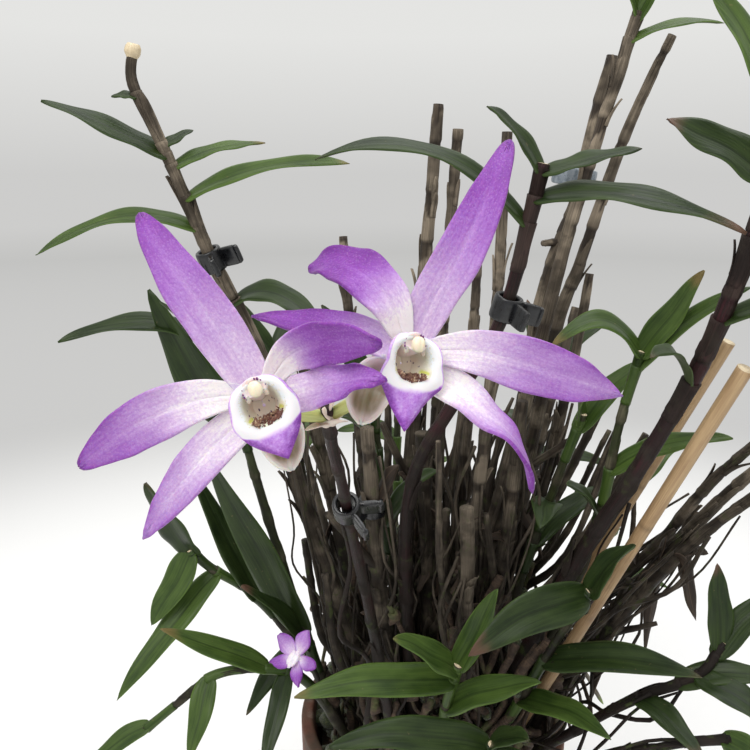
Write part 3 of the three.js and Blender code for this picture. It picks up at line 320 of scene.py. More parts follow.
# Each bloom's centre lies in the plant's frame. Its heart is where the lip's own frame starts, with up and
# out for its axes. The lines of the sepals, petals and chin are in the leaning frame of the blooms.
BLOOMS = [
  dict(name="left_bloom", centre=[-32.2, -112.1, 213.4],
    heart=[0.55, -0.4, 0], up=[-0.43, 0.9, 0.1], out=[0.05, 0.05, 1],
    lip=dict(point=7.1, corner=4.5, cornerAt=1.15, bulge=0.5),
    sepals=[
      dict(width=6, turn=[0, 10],
        line=[[-0.8, 2, 0], [-5.8, 9.9, 1.5], [-9.6, 15, 1.5], [-13.6, 20.8, 0], [-16, 24.1, -2]]),
      dict(width=5, turn=[0, 15],
        line=[[-1, -1, -0.6], [-6.4, -6, 0], [-10.5, -11, 0], [-15.5, -17.6, -2]]),
      dict(width=4.6, turn=[-10, -30],
        line=[[1, 0.3, -0.4], [5.3, 1.2, 1.3], [9.5, 2.4, 4], [13, 3, 6.4], [15.6, 2.7, 8.4]]),
    ],
    petals=[
      dict(width=6.3, turn=[0, -10],
        line=[[-1.5, 1.1, 0], [-7.7, 0.3, 1], [-14, -2.1, 0], [-19.6, -5.4, -1.5], [-24, -8.5, -3]]),
      dict(width=5.6, turn=[15, 40],
        line=[[0.6, 2.1, 0.2], [3.4, 5.6, 1.8], [6.8, 7, 4.5], [9.8, 7.4, 7], [12.5, 7.3, 9.4],
          [15, 6.9, 11.5]]),
    ],
    chin=[[0.5, -0.5, -2.6], [2, -4.5, -4.6], [3.6, -8.8, -2]]),
  dict(name="right_bloom", centre=[-13.7, -110.7, 218.7],
    heart=[-2.3, -0.8, 0], up=[0.2, 0.985, 0.1], out=[0.55, 0.08, 1],
    lip=dict(point=8.4, corner=5.1, cornerAt=0.95, bulge=-0.15),
    sepals=[
      dict(width=5.4, turn=[0, -10],
        line=[[0.6, 2.5, 0], [3.3, 8.1, 1.5], [5.6, 11.8, 2], [8, 16.6, 1.5], [10.4, 21.8, 0],
          [13.2, 28.3, -3]]),
      dict(width=4.6, turn=[0, -95],
        line=[[1.4, -1.2, -0.4], [6.2, -4.2, 1.6], [9.1, -7, 2.6], [11.9, -9.4, 3], [14, -12.5, 2.5],
          [15, -16.6, 2]]),
      dict(width=4.4, turn=[0, 50],
        line=[[-1.7, 1.2, -0.8], [-5.2, 3, -2.4], [-11.5, 4.6, -6], [-21.4, 6.1, -10]]),
    ],
    petals=[
      dict(width=6.3, turn=[0, 40],
        line=[[-0.5, 2, 0], [-2.4, 6.7, 2], [-4.9, 9.6, 1.5], [-7.1, 11.3, 0], [-10.1, 12.5, -3],
          [-13.1, 12.1, -6]]),
      dict(width=6.5, turn=[0, 10],
        line=[[1.1, 1, 0], [7.9, 0.8, 1.5], [15.2, -1, 1], [21.4, -2.9, 0], [27.4, -4.8, -2]]),
    ],
    chin=[[-0.8, -0.8, -2.6], [-4.6, -3.6, -4.8], [-6.2, -8.4, -2.2]]),
]

SMALL = dict(centre=[-37.5, -37, 123],
  out=[-0.6, -0.65, 0.45],
  cane="low_cane_left",
  at=0.47)


# Random values and smooth noise that come out the same every run

def rough(seed, x, y, period=None):
    """Smooth noise from 0 to 1 over a plane, which repeats along x after a whole number of cells."""
    table = np.random.default_rng(seed).random((64, 64))
    x, y = np.broadcast_arrays(np.asarray(x, float), np.asarray(y, float))
    i = np.floor(x).astype(int)
    j = np.floor(y).astype(int)
    u = x - i
    v = y - j
    u = u * u * (3 - 2 * u)
    v = v * v * (3 - 2 * v)
    wrap = period or 64

    def cell(a, b):
        return table[a % wrap, b % 64]

    low = cell(i, j) * (1 - u) + cell(i + 1, j) * u
    high = cell(i, j + 1) * (1 - u) + cell(i + 1, j + 1) * u
    return low * (1 - v) + high * v


def rough_round(seed, cells, angle, along):
    """Smooth noise round a stem, with a whole number of cells to the turn."""
    return rough(seed, angle * cells / (2 * np.pi), along, cells)


def smoothstep(x, low, high):
    t = np.clip((np.asarray(x, float) - low) / (high - low), 0, 1)
    return t * t * (3 - 2 * t)


def blend(a, b, share):
    return a + (b - a) * share


def unit(rows):
    rows = np.asarray(rows, float)
    return rows / np.maximum(np.linalg.norm(rows, axis=-1, keepdims=True), 1e-9)


def bell(x, width):
    """1 where x is 0, falling smoothly to both sides."""
    return np.exp(-(x / width) ** 2)


def power(value, exponent):
    return np.sign(value) * np.abs(value) ** exponent


def circle(count):
    """Evenly spaced angles round a circle, as one row."""
    return (2 * np.pi * np.arange(count) / count)[None]


def grid(*values):
    """Points from their values over rows and columns."""
    return np.stack(np.broadcast_arrays(*values), -1)


def shares(rows, columns):
    """The share along a blade, as a column, and the place across it from -1 to 1, as a row."""
    return np.linspace(0, 1, rows)[:, None], np.linspace(-1, 1, columns)[None]


# Lines

def route(points, count):
    """Evenly spaced points along the smooth curve through the given points."""
    p = np.array(points, float)
    p = np.vstack([2 * p[0] - p[1], p, 2 * p[-1] - p[-2]])
    pieces = []
    for i in range(1, len(p) - 2):
        a, b, c, d = p[i - 1:i + 3]
        t0, t1, t2 = (np.linalg.norm(y - x) ** 0.5 for x, y in ((a, b), (b, c), (c, d)))
        start = ((b - a) / t0 - (c - a) / (t0 + t1) + (c - b) / t1) * t1
        end = ((c - b) / t1 - (d - b) / (t1 + t2) + (d - c) / t2) * t1
        s = np.linspace(0, 1, 60, endpoint=False)[:, None]
        cubic = 2 * b - 2 * c + start + end
        square = -3 * b + 3 * c - 2 * start - end
        pieces.append(cubic * s ** 3 + square * s ** 2 + start * s + b)
    fine = np.vstack(pieces + [p[-2][None]])
    return evenly(fine, count)


def distances(line):
    return np.r_[0, np.cumsum(np.linalg.norm(np.diff(line, axis=0), axis=1))]


def part_of(line, low, high, count):
    length = distances(line)
    at = np.linspace(low, high, count)
    return np.stack([np.interp(at, length, line[:, k]) for k in range(3)], 1)


def evenly(line, count):
    return part_of(line, 0, distances(line)[-1], count)


def point_at(line, share):
    at = share * distances(line)[-1]
    return part_of(line, at, at, 1)[0]


def cross_axes(line):
    """The tangent and two steady cross axes at each point of a line."""
    tangent = unit(np.gradient(line, axis=0))
    side = np.cross(tangent[0], [0.0, 1.0, 0.0])
    if np.linalg.norm(side) < 0.2:
        side = np.cross(tangent[0], [1.0, 0.0, 0.0])
    sides = [unit(side)]
    for t in tangent[1:]:
        last = sides[-1]
        sides.append(unit(last - t * np.dot(last, t)))
    sides = np.array(sides)
    return tangent, sides, np.cross(tangent, sides)


def around(spine, angle):
    """Steps of one millimetre out of a line, at angles given over rows and columns."""
    _, side, up = cross_axes(spine)
    return np.cos(angle)[..., None] * side[:, None] + np.sin(angle)[..., None] * up[:, None]


# Meshes: a part holds points, faces, a grain vector in millimetres, two values, tone and mark, and the
# number of each face's material

def part(points, faces, grain, tone, mark, paint=0):
    count = len(points)
    return {
        "points": np.asarray(points, float).reshape(-1, 3),
        "faces": faces,
        "grain": np.asarray(grain, float).reshape(-1, 3),
        "tone": np.broadcast_to(np.asarray(tone, float).ravel(), (count,)),
        "mark": np.broadcast_to(np.asarray(mark, float).ravel(), (count,)),
        "paint": np.full(len(faces), paint) if np.isscalar(paint) else np.asarray(paint),
    }


def quads(rows, columns, closed=False):
    r, c = np.meshgrid(np.arange(rows - 1), np.arange(columns if closed else columns - 1), indexing="ij")
    r = r.ravel()
    c = c.ravel()
    n = (c + 1) % columns
    return np.stack([r * columns + c, r * columns + n, (r + 1) * columns + n, (r + 1) * columns + c], 1)


def closed_faces(rows, sides):
    """Faces over rings of points. The points at the two ends come after the last ring."""
    start, end = rows * sides, rows * sides + 1
    top = (rows - 1) * sides
    faces = [tuple(f) for f in quads(rows, sides, True).tolist()]
    faces += [(start, (k + 1) % sides, k) for k in range(sides)]
    return faces + [(end, top + k, top + (k + 1) % sides) for k in range(sides)]


def tube(line, radius, sides=16, tone=0.0, mark=0.0, paint=0, end=None):
    """A closed stem along a line. radius, tone and mark hold one value a row, or one a point."""
    line = np.asarray(line, float)
    rows = len(line)
    angle = circle(sides)

    def spread(value):
        value = np.asarray(value, float)
        return np.broadcast_to(value[:, None] if value.ndim == 1 else value, (rows, sides))

    radius = spread(radius)
    points = line[:, None] + radius[..., None] * around(line, angle)
    width = float(radius.mean())
    along = distances(line)
    grain = grid(width * np.cos(angle), width * np.sin(angle), along[:, None])
    grain = np.vstack([grain.reshape(-1, 3), [[0, 0, 0]], [[0, 0, along[-1]]]])
    tones, marks = (np.r_[v, v[0], v[-1]] for v in (spread(tone).ravel(), spread(mark).ravel()))
    faces = closed_faces(rows, sides)
    paints = np.full(len(faces), paint)
    if end is not None:
        paints[-sides:] = end
    return part(np.vstack([points.reshape(-1, 3), line[0], line[-1]]), faces, grain, tones, marks, paints)


def blade(line, side, face, across, lift):
    """Points over rows and columns, each a step sideways from the line and a lift off it."""
    return line[:, None] + side[:, None] * across[..., None] + face[:, None] * lift[..., None]


def sheet(middle, half, grain, tone=0.0, mark=0.0, paint=0, under=None):
    """A closed blade: middle is its middle layer, rows by columns, and half its half thickness."""
    rows, columns = middle.shape[:2]
    normal = unit(np.cross(np.gradient(middle, axis=1), np.gradient(middle, axis=0)))
    half = np.broadcast_to(half, (rows, columns))[..., None]
    sides = [(middle + normal * half).reshape(-1, 3), (middle - normal * half).reshape(-1, 3)]
    count = rows * columns
    face = quads(rows, columns)
    faces = [tuple(f) for f in [*face.tolist(), *(face[:, ::-1] + count).tolist()]]
    rims = []
    for c in range(columns - 1):
        rims.append((c, c + 1))
        rims.append(((rows - 1) * columns + c + 1, (rows - 1) * columns + c))
    for r in range(rows - 1):
        rims.append((r * columns + columns - 1, (r + 1) * columns + columns - 1))
        rims.append(((r + 1) * columns, r * columns))
    faces += [(b, a, a + count, b + count) for a, b in rims]
    paints = np.full(len(faces), paint)
    if under is not None:
        paints[len(face):2 * len(face)] = under
    tone, mark = (np.tile(np.broadcast_to(v, (rows, columns)).ravel(), 2) for v in (tone, mark))
    grain = np.tile(grain.reshape(-1, 3), (2, 1))
    return part(np.vstack(sides), faces, grain, tone, mark, paints)


def piece(name, parts, materials, node):
    """One object from its parts, in the place of the CAD node that it stands for."""
    faces = []
    start = 0
    for one in parts:
        faces += [tuple(v + start for v in f) for f in one["faces"]]
        start += len(one["points"])
    mesh = bpy.data.meshes.new(name)
    mesh.from_pydata((np.vstack([one["points"] for one in parts]) * MM).tolist(), [], faces)
    paints = np.concatenate([one["paint"] for one in parts]).astype(np.int32)
    mesh.polygons.foreach_set("use_smooth", np.ones(len(faces), bool))
    mesh.polygons.foreach_set("material_index", paints)
    grain = mesh.attributes.new("grain", "FLOAT_VECTOR", "POINT")
    grain.data.foreach_set("vector", np.vstack([one["grain"] for one in parts]).astype(np.float32).ravel())
    for value in ("tone", "mark"):
        layer = mesh.attributes.new(value, "FLOAT", "POINT")
        layer.data.foreach_set("value", np.concatenate([one[value] for one in parts]).astype(np.float32))
    for material in materials:
        mesh.materials.append(material)
    mesh.update()
    thing = bpy.data.objects.new(name, mesh)
    bpy.context.scene.collection.objects.link(thing)
    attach(thing, "root")
    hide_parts(node)


# Materials

class Paint:
    """A node material under construction. Its attributes are the grain, tone and mark of the mesh."""

    def __init__(self, name):
        self.material = bpy.data.materials.new(name)
        self.material.use_nodes = True
        self.tree = self.material.node_tree
        self.shader = next(n for n in self.tree.nodes if n.type == "BSDF_PRINCIPLED")

    def add(self, kind, settings=(), **inputs):
        node = self.tree.nodes.new(kind)
        for key, value in dict(settings).items():
            setattr(node, key, value)
        for key, value in inputs.items():
            self.put(node.inputs[key], value)
        return node

    def put(self, socket, value):
        if isinstance(value, bpy.types.NodeSocket):
            self.tree.links.new(value, socket)
        else:
            socket.default_value = value

    def value(self, name):
        return self.add("ShaderNodeAttribute", {"attribute_name": name}).outputs["Fac"]

    def grain(self, stretch=(1, 1, 1)):
        source = self.add("ShaderNodeAttribute", {"attribute_name": "grain"}).outputs["Vector"]
        return self.add("ShaderNodeMapping", Vector=source, Scale=stretch).outputs["Vector"]

    def place(self, scale=1000.0):
        source = self.add("ShaderNodeTexCoord").outputs["Object"]
        return self.add("ShaderNodeMapping", Vector=source, Scale=(scale,) * 3).outputs["Vector"]

    def height(self):
        """Height above the surface that the pot stands on, in millimetres."""
        return self.add("ShaderNodeSeparateXYZ", Vector=self.place()).outputs["Z"]

    def noise(self, vector, scale, detail=3.0, roughness=0.55):
        node = self.add("ShaderNodeTexNoise", Vector=vector, Scale=scale, Detail=detail, Roughness=roughness)
        return node.outputs["Fac"]

    def cells(self, vector, scale):
        return self.add("ShaderNodeTexVoronoi", Vector=vector, Scale=scale).outputs["Distance"]

    def math(self, operation, a, b, clamp=False):
        node = self.add("ShaderNodeMath", {"operation": operation, "use_clamp": clamp})
        self.put(node.inputs[0], a)
        self.put(node.inputs[1], b)
        return node.outputs[0]

    def times(self, a, b):
        return self.math("MULTIPLY", a, b)

    def plus(self, a, b, clamp=False):
        return self.math("ADD", a, b, clamp)

    def minus(self, a, b):
        return self.math("SUBTRACT", a, b)

    def both(self, a, a_share, b, b_share):
        """Two textures added up, each by its share."""
        return self.plus(self.times(a, a_share), self.times(b, b_share))

    def between(self, value, low, high):
        """A smooth step from 0 to 1 as a value goes from low to high."""
        node = self.add("ShaderNodeMapRange", {"interpolation_type": "SMOOTHSTEP"}, Value=value)
        node.inputs["From Min"].default_value = low
        node.inputs["From Max"].default_value = high
        return node.outputs["Result"]

    def ramp(self, value, stops):
        node = self.add("ShaderNodeValToRGB", Fac=value)
        ramp = node.color_ramp
        while len(ramp.elements) < len(stops):
            ramp.elements.new(0.5)
        for element, (at, colour) in zip(ramp.elements, stops):
            element.position = at
            element.color = (*colour, 1)
        return node.outputs["Color"]

    def mix(self, share, below, above):
        """One colour laid over another, as strongly as the share says."""
        node = self.add("ShaderNodeMix", {"data_type": "RGBA"})
        self.put(node.inputs[0], share)
        for socket, value in ((node.inputs[6], below), (node.inputs[7], above)):
            self.put(socket, value if isinstance(value, bpy.types.NodeSocket) else (*value, 1))
        return node.outputs[2]

    def bump(self, height, strength, depth_mm, under=None):
        node = self.add("ShaderNodeBump", Height=height, Strength=strength, Distance=depth_mm * MM)
        if under is not None:
            self.put(node.inputs["Normal"], under)
        return node.outputs["Normal"]

    def finish(self, colour, roughness, normal, **fixed):
        self.put(self.shader.inputs["Base Color"], colour)
        self.put(self.shader.inputs["Roughness"], roughness)
        self.put(self.shader.inputs["Normal"], normal)
        for key, value in fixed.items():
            self.shader.inputs[key.replace("_", " ")].default_value = value
        return self.material


def shade(colour, share):
    return tuple(c * share for c in colour)


def petal_paint():
    """Tone is the flush, from white at the root to violet at the tip. Mark is the distance across."""
    p = Paint("petal")
    veins = p.noise(p.grain((1, 1, 0.05)), 3.2, 2.0)
    cloud = p.noise(p.grain((1, 1, 0.4)), 0.5, 3.0)
    speckle = p.noise(p.grain((1, 1, 0.8)), 2.6, 3.0, 0.75)
    flush = p.value("tone")
    for texture, strength in ((veins, 0.20), (cloud, 0.28), (speckle, 0.5)):
        flush = p.plus(flush, p.times(p.minus(texture, 0.5), strength))
    colour = p.ramp(p.plus(flush, 0.0, True), [
        (0.0, (0.84, 0.80, 0.81)), (0.1, (0.73, 0.62, 0.77)), (0.22, (0.59, 0.43, 0.68)),
        (0.42, (0.43, 0.24, 0.56)), (0.62, (0.32, 0.125, 0.47)), (0.82, (0.235, 0.055, 0.37)),
        (1.0, (0.17, 0.032, 0.27))])
    # Painted glints: the cells put pale specks into the colour for light sparkling off the petal's cells, and
    # also bump the surface
    glint = p.cells(p.grain((1, 1, 0.85)), 3.4)
    colour = p.mix(p.times(p.between(glint, 0.42, 0.12), 0.08), colour, (0.84, 0.76, 0.88))
    normal = p.bump(glint, 0.55, 0.08)
    normal = p.bump(veins, 0.35, 0.12, normal)
    return p.finish(colour, 0.45, normal, Subsurface_Weight=0.12, Subsurface_Scale=0.001,
                    Sheen_Weight=0.08, Sheen_Roughness=0.4, Specular_IOR_Level=0.25)


def chin_paint():
    """Tone is 1 on the pale rim, mark is 1 at the root, which takes the lilac of the sepals. Elsewhere its
    dark olive body is painted shade inside the pouch, over the chin's own translucent olive.
    """
    p = Paint("chin")
    cloud = p.noise(p.grain((1, 1, 0.4)), 0.6, 3.0)
    # Painted shade: the dark olive body stands for the shade inside the pouch, over the chin's own
    # translucent olive
    body = p.ramp(cloud, [(0.3, (0.17, 0.15, 0.06)), (0.5, (0.27, 0.245, 0.15)), (0.7, (0.42, 0.40, 0.31))])
    specks = p.between(p.noise(p.grain((1, 1, 0.6)), 5.0, 2.0), 0.60, 0.70)
    body = p.mix(p.times(specks, 0.35), body, (0.25, 0.21, 0.17))
    colour = p.mix(p.value("tone"), body, (0.80, 0.77, 0.70))
    flush = p.times(p.value("mark"), 0.6)
    colour = p.mix(flush, colour, (0.62, 0.46, 0.66))
    normal = p.bump(p.noise(p.grain((1, 1, 0.2)), 3.0), 0.3, 0.08)
    return p.finish(colour, 0.4, normal, Subsurface_Weight=0.3, Subsurface_Scale=0.0015)


def lip_paint():
    """Tone is the violet of the tip and edge. Mark rises from 0 on the white collar to 0.66 in the hollow,
    and is 1 on the two yellow patches inside the rim.
    """
    p = Paint("lip")
    fine = p.noise(p.grain(), 3.4, 3.0, 0.65)
    broad = p.noise(p.grain(), 0.9, 3.0, 0.6)
    uneven = p.times(p.minus(p.plus(fine, broad), 1.0), p.value("tone"))
    violet = p.plus(p.value("tone"), uneven, True)
    collar = p.ramp(violet, [
        (0.0, (0.86, 0.84, 0.87)), (0.25, (0.70, 0.55, 0.83)), (0.5, (0.50, 0.24, 0.72)),
        (0.72, (0.34, 0.105, 0.53)), (1.0, (0.19, 0.035, 0.32))])
    zone = p.ramp(p.value("mark"), [
        (0.0, (0.86, 0.84, 0.87)), (0.2, (0.84, 0.80, 0.74)), (0.45, (0.78, 0.72, 0.56)),
        (0.62, (0.76, 0.67, 0.56)), (0.7, (0.76, 0.67, 0.56)), (1.0, (0.60, 0.58, 0.10))])
    colour = p.mix(p.between(p.value("mark"), 0.02, 0.16), collar, zone)
    dots = p.cells(p.grain((1, 0.5, 0.35)), 2.3)
    few = p.between(p.noise(p.grain(), 0.9, 1.0), 0.36, 0.46)
    inside = p.times(p.between(p.value("mark"), 0.56, 0.64), p.between(p.value("mark"), 0.8, 0.7))
    spots = p.times(p.between(dots, 0.27, 0.17), p.times(inside, few))
    colour = p.mix(spots, colour, (0.085, 0.02, 0.10))
    normal = p.bump(fine, 0.25, 0.06)
    return p.finish(colour, 0.4, normal, Subsurface_Weight=0.2, Subsurface_Scale=0.001,
                    Specular_IOR_Level=0.4)


def hair_paint():
    p = Paint("lip_hair")
    colour = p.ramp(p.value("tone"), [
        (0.0, (0.075, 0.018, 0.025)), (0.45, (0.20, 0.085, 0.06)), (0.75, (0.44, 0.29, 0.18)),
        (1.0, (0.78, 0.71, 0.56))])
    normal = p.bump(p.noise(p.place(), 4.0), 0.5, 0.05)
    return p.finish(colour, 0.32, normal)


def column_paint():
    """Tone is 0 on the pink hood, 0.5 on the translucent arms and 1 on the cap. Mark is 1 on purple dots."""
    p = Paint("column")
    cloud = p.noise(p.place(), 0.9)
    body = p.ramp(cloud, [(0.3, (0.78, 0.62, 0.66)), (0.7, (0.86, 0.75, 0.72))])
    colour = p.mix(p.between(p.value("tone"), 0.1, 0.5), body, (0.50, 0.43, 0.35))
    colour = p.mix(p.between(p.value("tone"), 0.5, 0.95), colour, (0.82, 0.75, 0.57))
    colour = p.mix(p.value("mark"), colour, (0.13, 0.01, 0.15))
    normal = p.bump(p.noise(p.place(), 6.0), 0.25, 0.05)
    return p.finish(colour, 0.32, normal, Subsurface_Weight=0.3, Subsurface_Scale=0.001, Coat_Weight=0.2)


def stalk_paint():
    """Tone is 0 on the yellow-green stalk and 1 on the pinkish bracts."""
    p = Paint("flower_stalk")
    streak = p.noise(p.grain((1, 1, 0.1)), 2.0)
    green = p.ramp(streak, [(0.3, (0.40, 0.44, 0.13)), (0.7, (0.58, 0.60, 0.24))])
    colour = p.mix(p.value("tone"), green, (0.74, 0.62, 0.54))
    normal = p.bump(streak, 0.4, 0.1)
    return p.finish(colour, 0.42, normal, Subsurface_Weight=0.1, Subsurface_Scale=0.001)


def leaf_paint(name, dark, light, tip, under=False):
    """Tone runs from the root to the tip, and from about 0.9 on the leaf withers. Mark is 0 at the keel and
    1 at the edges.
    """
    p = Paint(name)
    veins = p.noise(p.grain((1, 1, 0.03)), 2.6, 2.0)
    cloud = p.noise(p.grain((1, 1, 0.5)), 0.22, 3.0)
    share = p.both(veins, 0.5, cloud, 0.6)
    colour = p.ramp(share, [(0.38, dark), (0.72, light)])
    edge = p.between(p.value("mark"), 0.86, 1.0)
    colour = p.mix(p.times(edge, 0.45), colour, shade(light, 2.0))
    keel = p.between(p.value("mark"), 0.13, 0.02)
    colour = p.mix(p.times(keel, 0.5), colour, shade(light, 1.7) if under else shade(dark, 0.5))
    wither = p.plus(p.value("tone"), p.times(p.minus(cloud, 0.5), 0.3))
    colour = p.mix(p.between(wither, 0.9, 1.06), colour, tip)
    spots = p.between(p.noise(p.grain((1, 1, 0.8)), 1.1, 2.0), 0.70, 0.76)
    colour = p.mix(p.times(spots, 0.35), colour, (0.20, 0.15, 0.07))
    normal = p.bump(veins, 0.5, 0.18)
    normal = p.bump(p.noise(p.grain(), 7.0), 0.2, 0.03, normal)
    roughness = p.plus(0.5 if under else 0.33, p.times(cloud, 0.2))
    return p.finish(colour, roughness, normal, Coat_Weight=0.04, Coat_Roughness=0.3, Specular_IOR_Level=0.25)


def cane_paint(name, skin, stripe, ring, paper, matt):
    """Tone is 1 in the groove of each ring, mark is 1 where the papery sheath covers the skin. Low down the
    canes carry painted shade, over their own darker damp old skin, and patches of moss.
    """
    p = Paint(name)
    streak = p.noise(p.grain((1, 1, 0.03)), 1.5, 4.0, 0.65)
    cloud = p.noise(p.grain((1, 1, 0.25)), 0.28, 3.0)
    bare = p.ramp(p.both(streak, 0.7, cloud, 0.3), [(0.40, stripe), (0.62, skin)])
    fibre = p.noise(p.grain((1, 1, 0.02)), 3.0, 4.0, 0.75)
    sheath = p.ramp(p.both(fibre, 0.6, cloud, 0.45), [
        (0.40, shade(paper, 0.16)), (0.54, shade(paper, 0.55)), (0.70, paper)])
    colour = p.mix(p.value("mark"), bare, sheath)
    colour = p.mix(p.times(p.value("tone"), 0.6), colour, ring)
    pale = p.between(p.noise(p.place(), 0.045, 2.0), 0.50, 0.66)
    colour = p.mix(p.times(pale, p.times(p.value("mark"), 0.5)), colour, paper)
    black = p.between(p.noise(p.place(), 0.06, 3.0), 0.54, 0.42)
    colour = p.mix(p.times(black, 0.6), colour, stripe)
    dirt = p.between(p.noise(p.place(), 0.22, 4.0), 0.50, 0.66)
    colour = p.mix(p.times(dirt, 0.55), colour, (0.030, 0.024, 0.018))
    # Painted shade: the canes darken in patches below 220 mm, where the plant's middle lies in shade; it also
    # stands for their darker damp skin there
    low = p.between(p.height(), 220.0, 120.0)
    painted_shade_patches = p.between(p.noise(p.place(), 0.13, 4.0), 0.66, 0.34)
    dark = p.times(low, p.minus(0.96, p.times(painted_shade_patches, 0.4)))
    colour = p.mix(dark, colour, (0.013, 0.010, 0.008))
    moss = p.between(p.noise(p.place(), 0.30, 4.0, 0.65), 0.56, 0.68)
    colour = p.mix(p.times(p.times(low, moss), 0.6), colour, (0.055, 0.075, 0.022))
    normal = p.bump(fibre, 0.7, 0.3)
    normal = p.bump(p.noise(p.grain((1, 1, 0.5)), 3.0), 0.3, 0.1, normal)
    roughness = p.plus(matt, p.times(p.value("mark"), 0.3))
    return p.finish(colour, roughness, normal, Specular_IOR_Level=0.2)


def bark_paint():
    p = Paint("bark")
    cloud = p.noise(p.place(), 0.35, 5.0, 0.65)
    layer = p.noise(p.grain((0.4, 0.4, 2.5)), 0.9, 4.0)
    colour = p.ramp(p.both(cloud, 0.6, layer, 0.4), [
        (0.34, (0.018, 0.012, 0.009)), (0.5, (0.055, 0.034, 0.022)), (0.68, (0.14, 0.09, 0.055))])
    colour = p.mix(p.times(p.value("tone"), 0.5), colour, (0.34, 0.25, 0.16))
    green = p.times(p.between(p.noise(p.place(), 0.16, 3.0), 0.5, 0.68), 0.5)
    colour = p.mix(green, colour, (0.08, 0.12, 0.03))
    normal = p.bump(cloud, 0.8, 0.7)
    normal = p.bump(layer, 0.5, 0.3, normal)
    return p.finish(colour, 0.85, normal)


def moss_paint():
    p = Paint("moss")
    colour = p.ramp(p.noise(p.place(), 1.4, 3.0), [
        (0.3, (0.014, 0.016, 0.008)), (0.52, (0.045, 0.060, 0.018)), (0.75, (0.13, 0.15, 0.05))])
    normal = p.bump(p.noise(p.place(), 3.0), 0.9, 0.5)
    return p.finish(colour, 0.8, normal, Sheen_Weight=0.3)


def pot_paint():
    p = Paint("pot_clay")
    cloud = p.noise(p.place(), 0.07, 5.0, 0.6)
    grit = p.noise(p.place(), 1.6, 3.0, 0.7)
    colour = p.ramp(p.both(cloud, 0.75, grit, 0.25), [
        (0.34, (0.10, 0.035, 0.02)), (0.5, (0.20, 0.075, 0.042)), (0.66, (0.31, 0.135, 0.08))])
    # Darker in patches over the top of the pot, below its rim
    darker_near_top = p.times(p.value("tone"), p.between(cloud, 0.32, 0.56))
    colour = p.mix(p.times(darker_near_top, 0.85), colour, (0.045, 0.035, 0.022))
    lime = p.times(p.between(p.noise(p.place(), 0.11, 5.0), 0.6, 0.74), 0.35)
    colour = p.mix(lime, colour, (0.46, 0.38, 0.31))
    rings = p.noise(p.grain((0.02, 0.02, 1.0)), 0.9, 3.0)
    normal = p.bump(grit, 0.5, 0.2)
    normal = p.bump(rings, 0.5, 0.5, normal)
    return p.finish(colour, p.plus(0.62, p.times(grit, 0.25)), normal)


def bamboo_paint(name, dark, light):
    p = Paint(name)
    fibre = p.noise(p.grain((1, 1, 0.015)), 4.5, 3.0, 0.7)
    cloud = p.noise(p.grain((1, 1, 0.2)), 0.3, 3.0)
    colour = p.ramp(p.both(fibre, 0.6, cloud, 0.4), [(0.36, dark), (0.62, light)])
    colour = p.mix(p.times(p.value("tone"), 0.6), colour, shade(dark, 0.35))
    stain = p.between(p.noise(p.place(), 0.12, 4.0), 0.55, 0.75)
    colour = p.mix(p.times(stain, 0.4), colour, (0.16, 0.10, 0.055))
    normal = p.bump(fibre, 0.6, 0.15)
    return p.finish(colour, 0.5, normal)


def clip_paint(name, colour, light):
    p = Paint(name)
    scuff = p.noise(p.place(), 0.6, 5.0, 0.7)
    mixed = p.ramp(scuff, [(0.4, colour), (0.8, light)])
    normal = p.bump(p.noise(p.place(), 0.9, 4.0), 0.25, 0.1)
    roughness = p.plus(0.16, p.times(scuff, 0.25))
    return p.finish(mixed, roughness, normal, Specular_IOR_Level=0.6)


def root_paint():
    p = Paint("root_skin")
    cloud = p.noise(p.grain((1, 1, 0.3)), 0.8, 4.0)
    colour = p.ramp(cloud, [
        (0.35, (0.085, 0.07, 0.05)), (0.55, (0.23, 0.205, 0.165)), (0.75, (0.42, 0.39, 0.33))])
    colour = p.mix(p.value("tone"), colour, (0.22, 0.30, 0.10))
    normal = p.bump(p.noise(p.grain((1, 1, 0.15)), 2.6), 0.6, 0.2)
    return p.finish(colour, 0.75, normal)


PETAL = petal_paint()
CHIN = chin_paint()
LIP = lip_paint()
HAIR = hair_paint()
COLUMN = column_paint()
STALK = stalk_paint()
BROWN_TIP = (0.10, 0.055, 0.035)
YELLOW_TIP = (0.16, 0.12, 0.04)
LEAF = leaf_paint("leaf_dark", (0.008, 0.018, 0.004), (0.031, 0.053, 0.012), BROWN_TIP)
LEAF_BACK = leaf_paint("leaf_dark_back", (0.025, 0.036, 0.013), (0.060, 0.080, 0.030), BROWN_TIP, True)
FRESH_LEAF = leaf_paint("leaf_fresh", (0.022, 0.046, 0.008), (0.070, 0.118, 0.022), YELLOW_TIP)
FRESH_LEAF_BACK = leaf_paint("leaf_fresh_back", (0.045, 0.07, 0.02), (0.10, 0.14, 0.045), YELLOW_TIP, True)
DEAD_LEAF = leaf_paint("leaf_dead", (0.014, 0.010, 0.008), (0.055, 0.038, 0.026), BROWN_TIP, True)
OLD_CANE = cane_paint("cane_old", (0.095, 0.072, 0.052), (0.022, 0.016, 0.012), (0.016, 0.012, 0.009),
                      (0.36, 0.295, 0.22), 0.5)
YOUNG_CANE = cane_paint("cane_young", (0.050, 0.013, 0.017), (0.010, 0.007, 0.006), (0.008, 0.005, 0.005),
                      (0.075, 0.05, 0.042), 0.42)
GREEN_CANE = cane_paint("cane_green", (0.095, 0.12, 0.04), (0.035, 0.045, 0.02), (0.025, 0.022, 0.014),
                      (0.24, 0.22, 0.14), 0.4)
CUT_END = bamboo_paint("cut_end", (0.55, 0.42, 0.25), (0.86, 0.74, 0.52))
BAMBOO = bamboo_paint("bamboo", (0.28, 0.165, 0.08), (0.48, 0.33, 0.175))
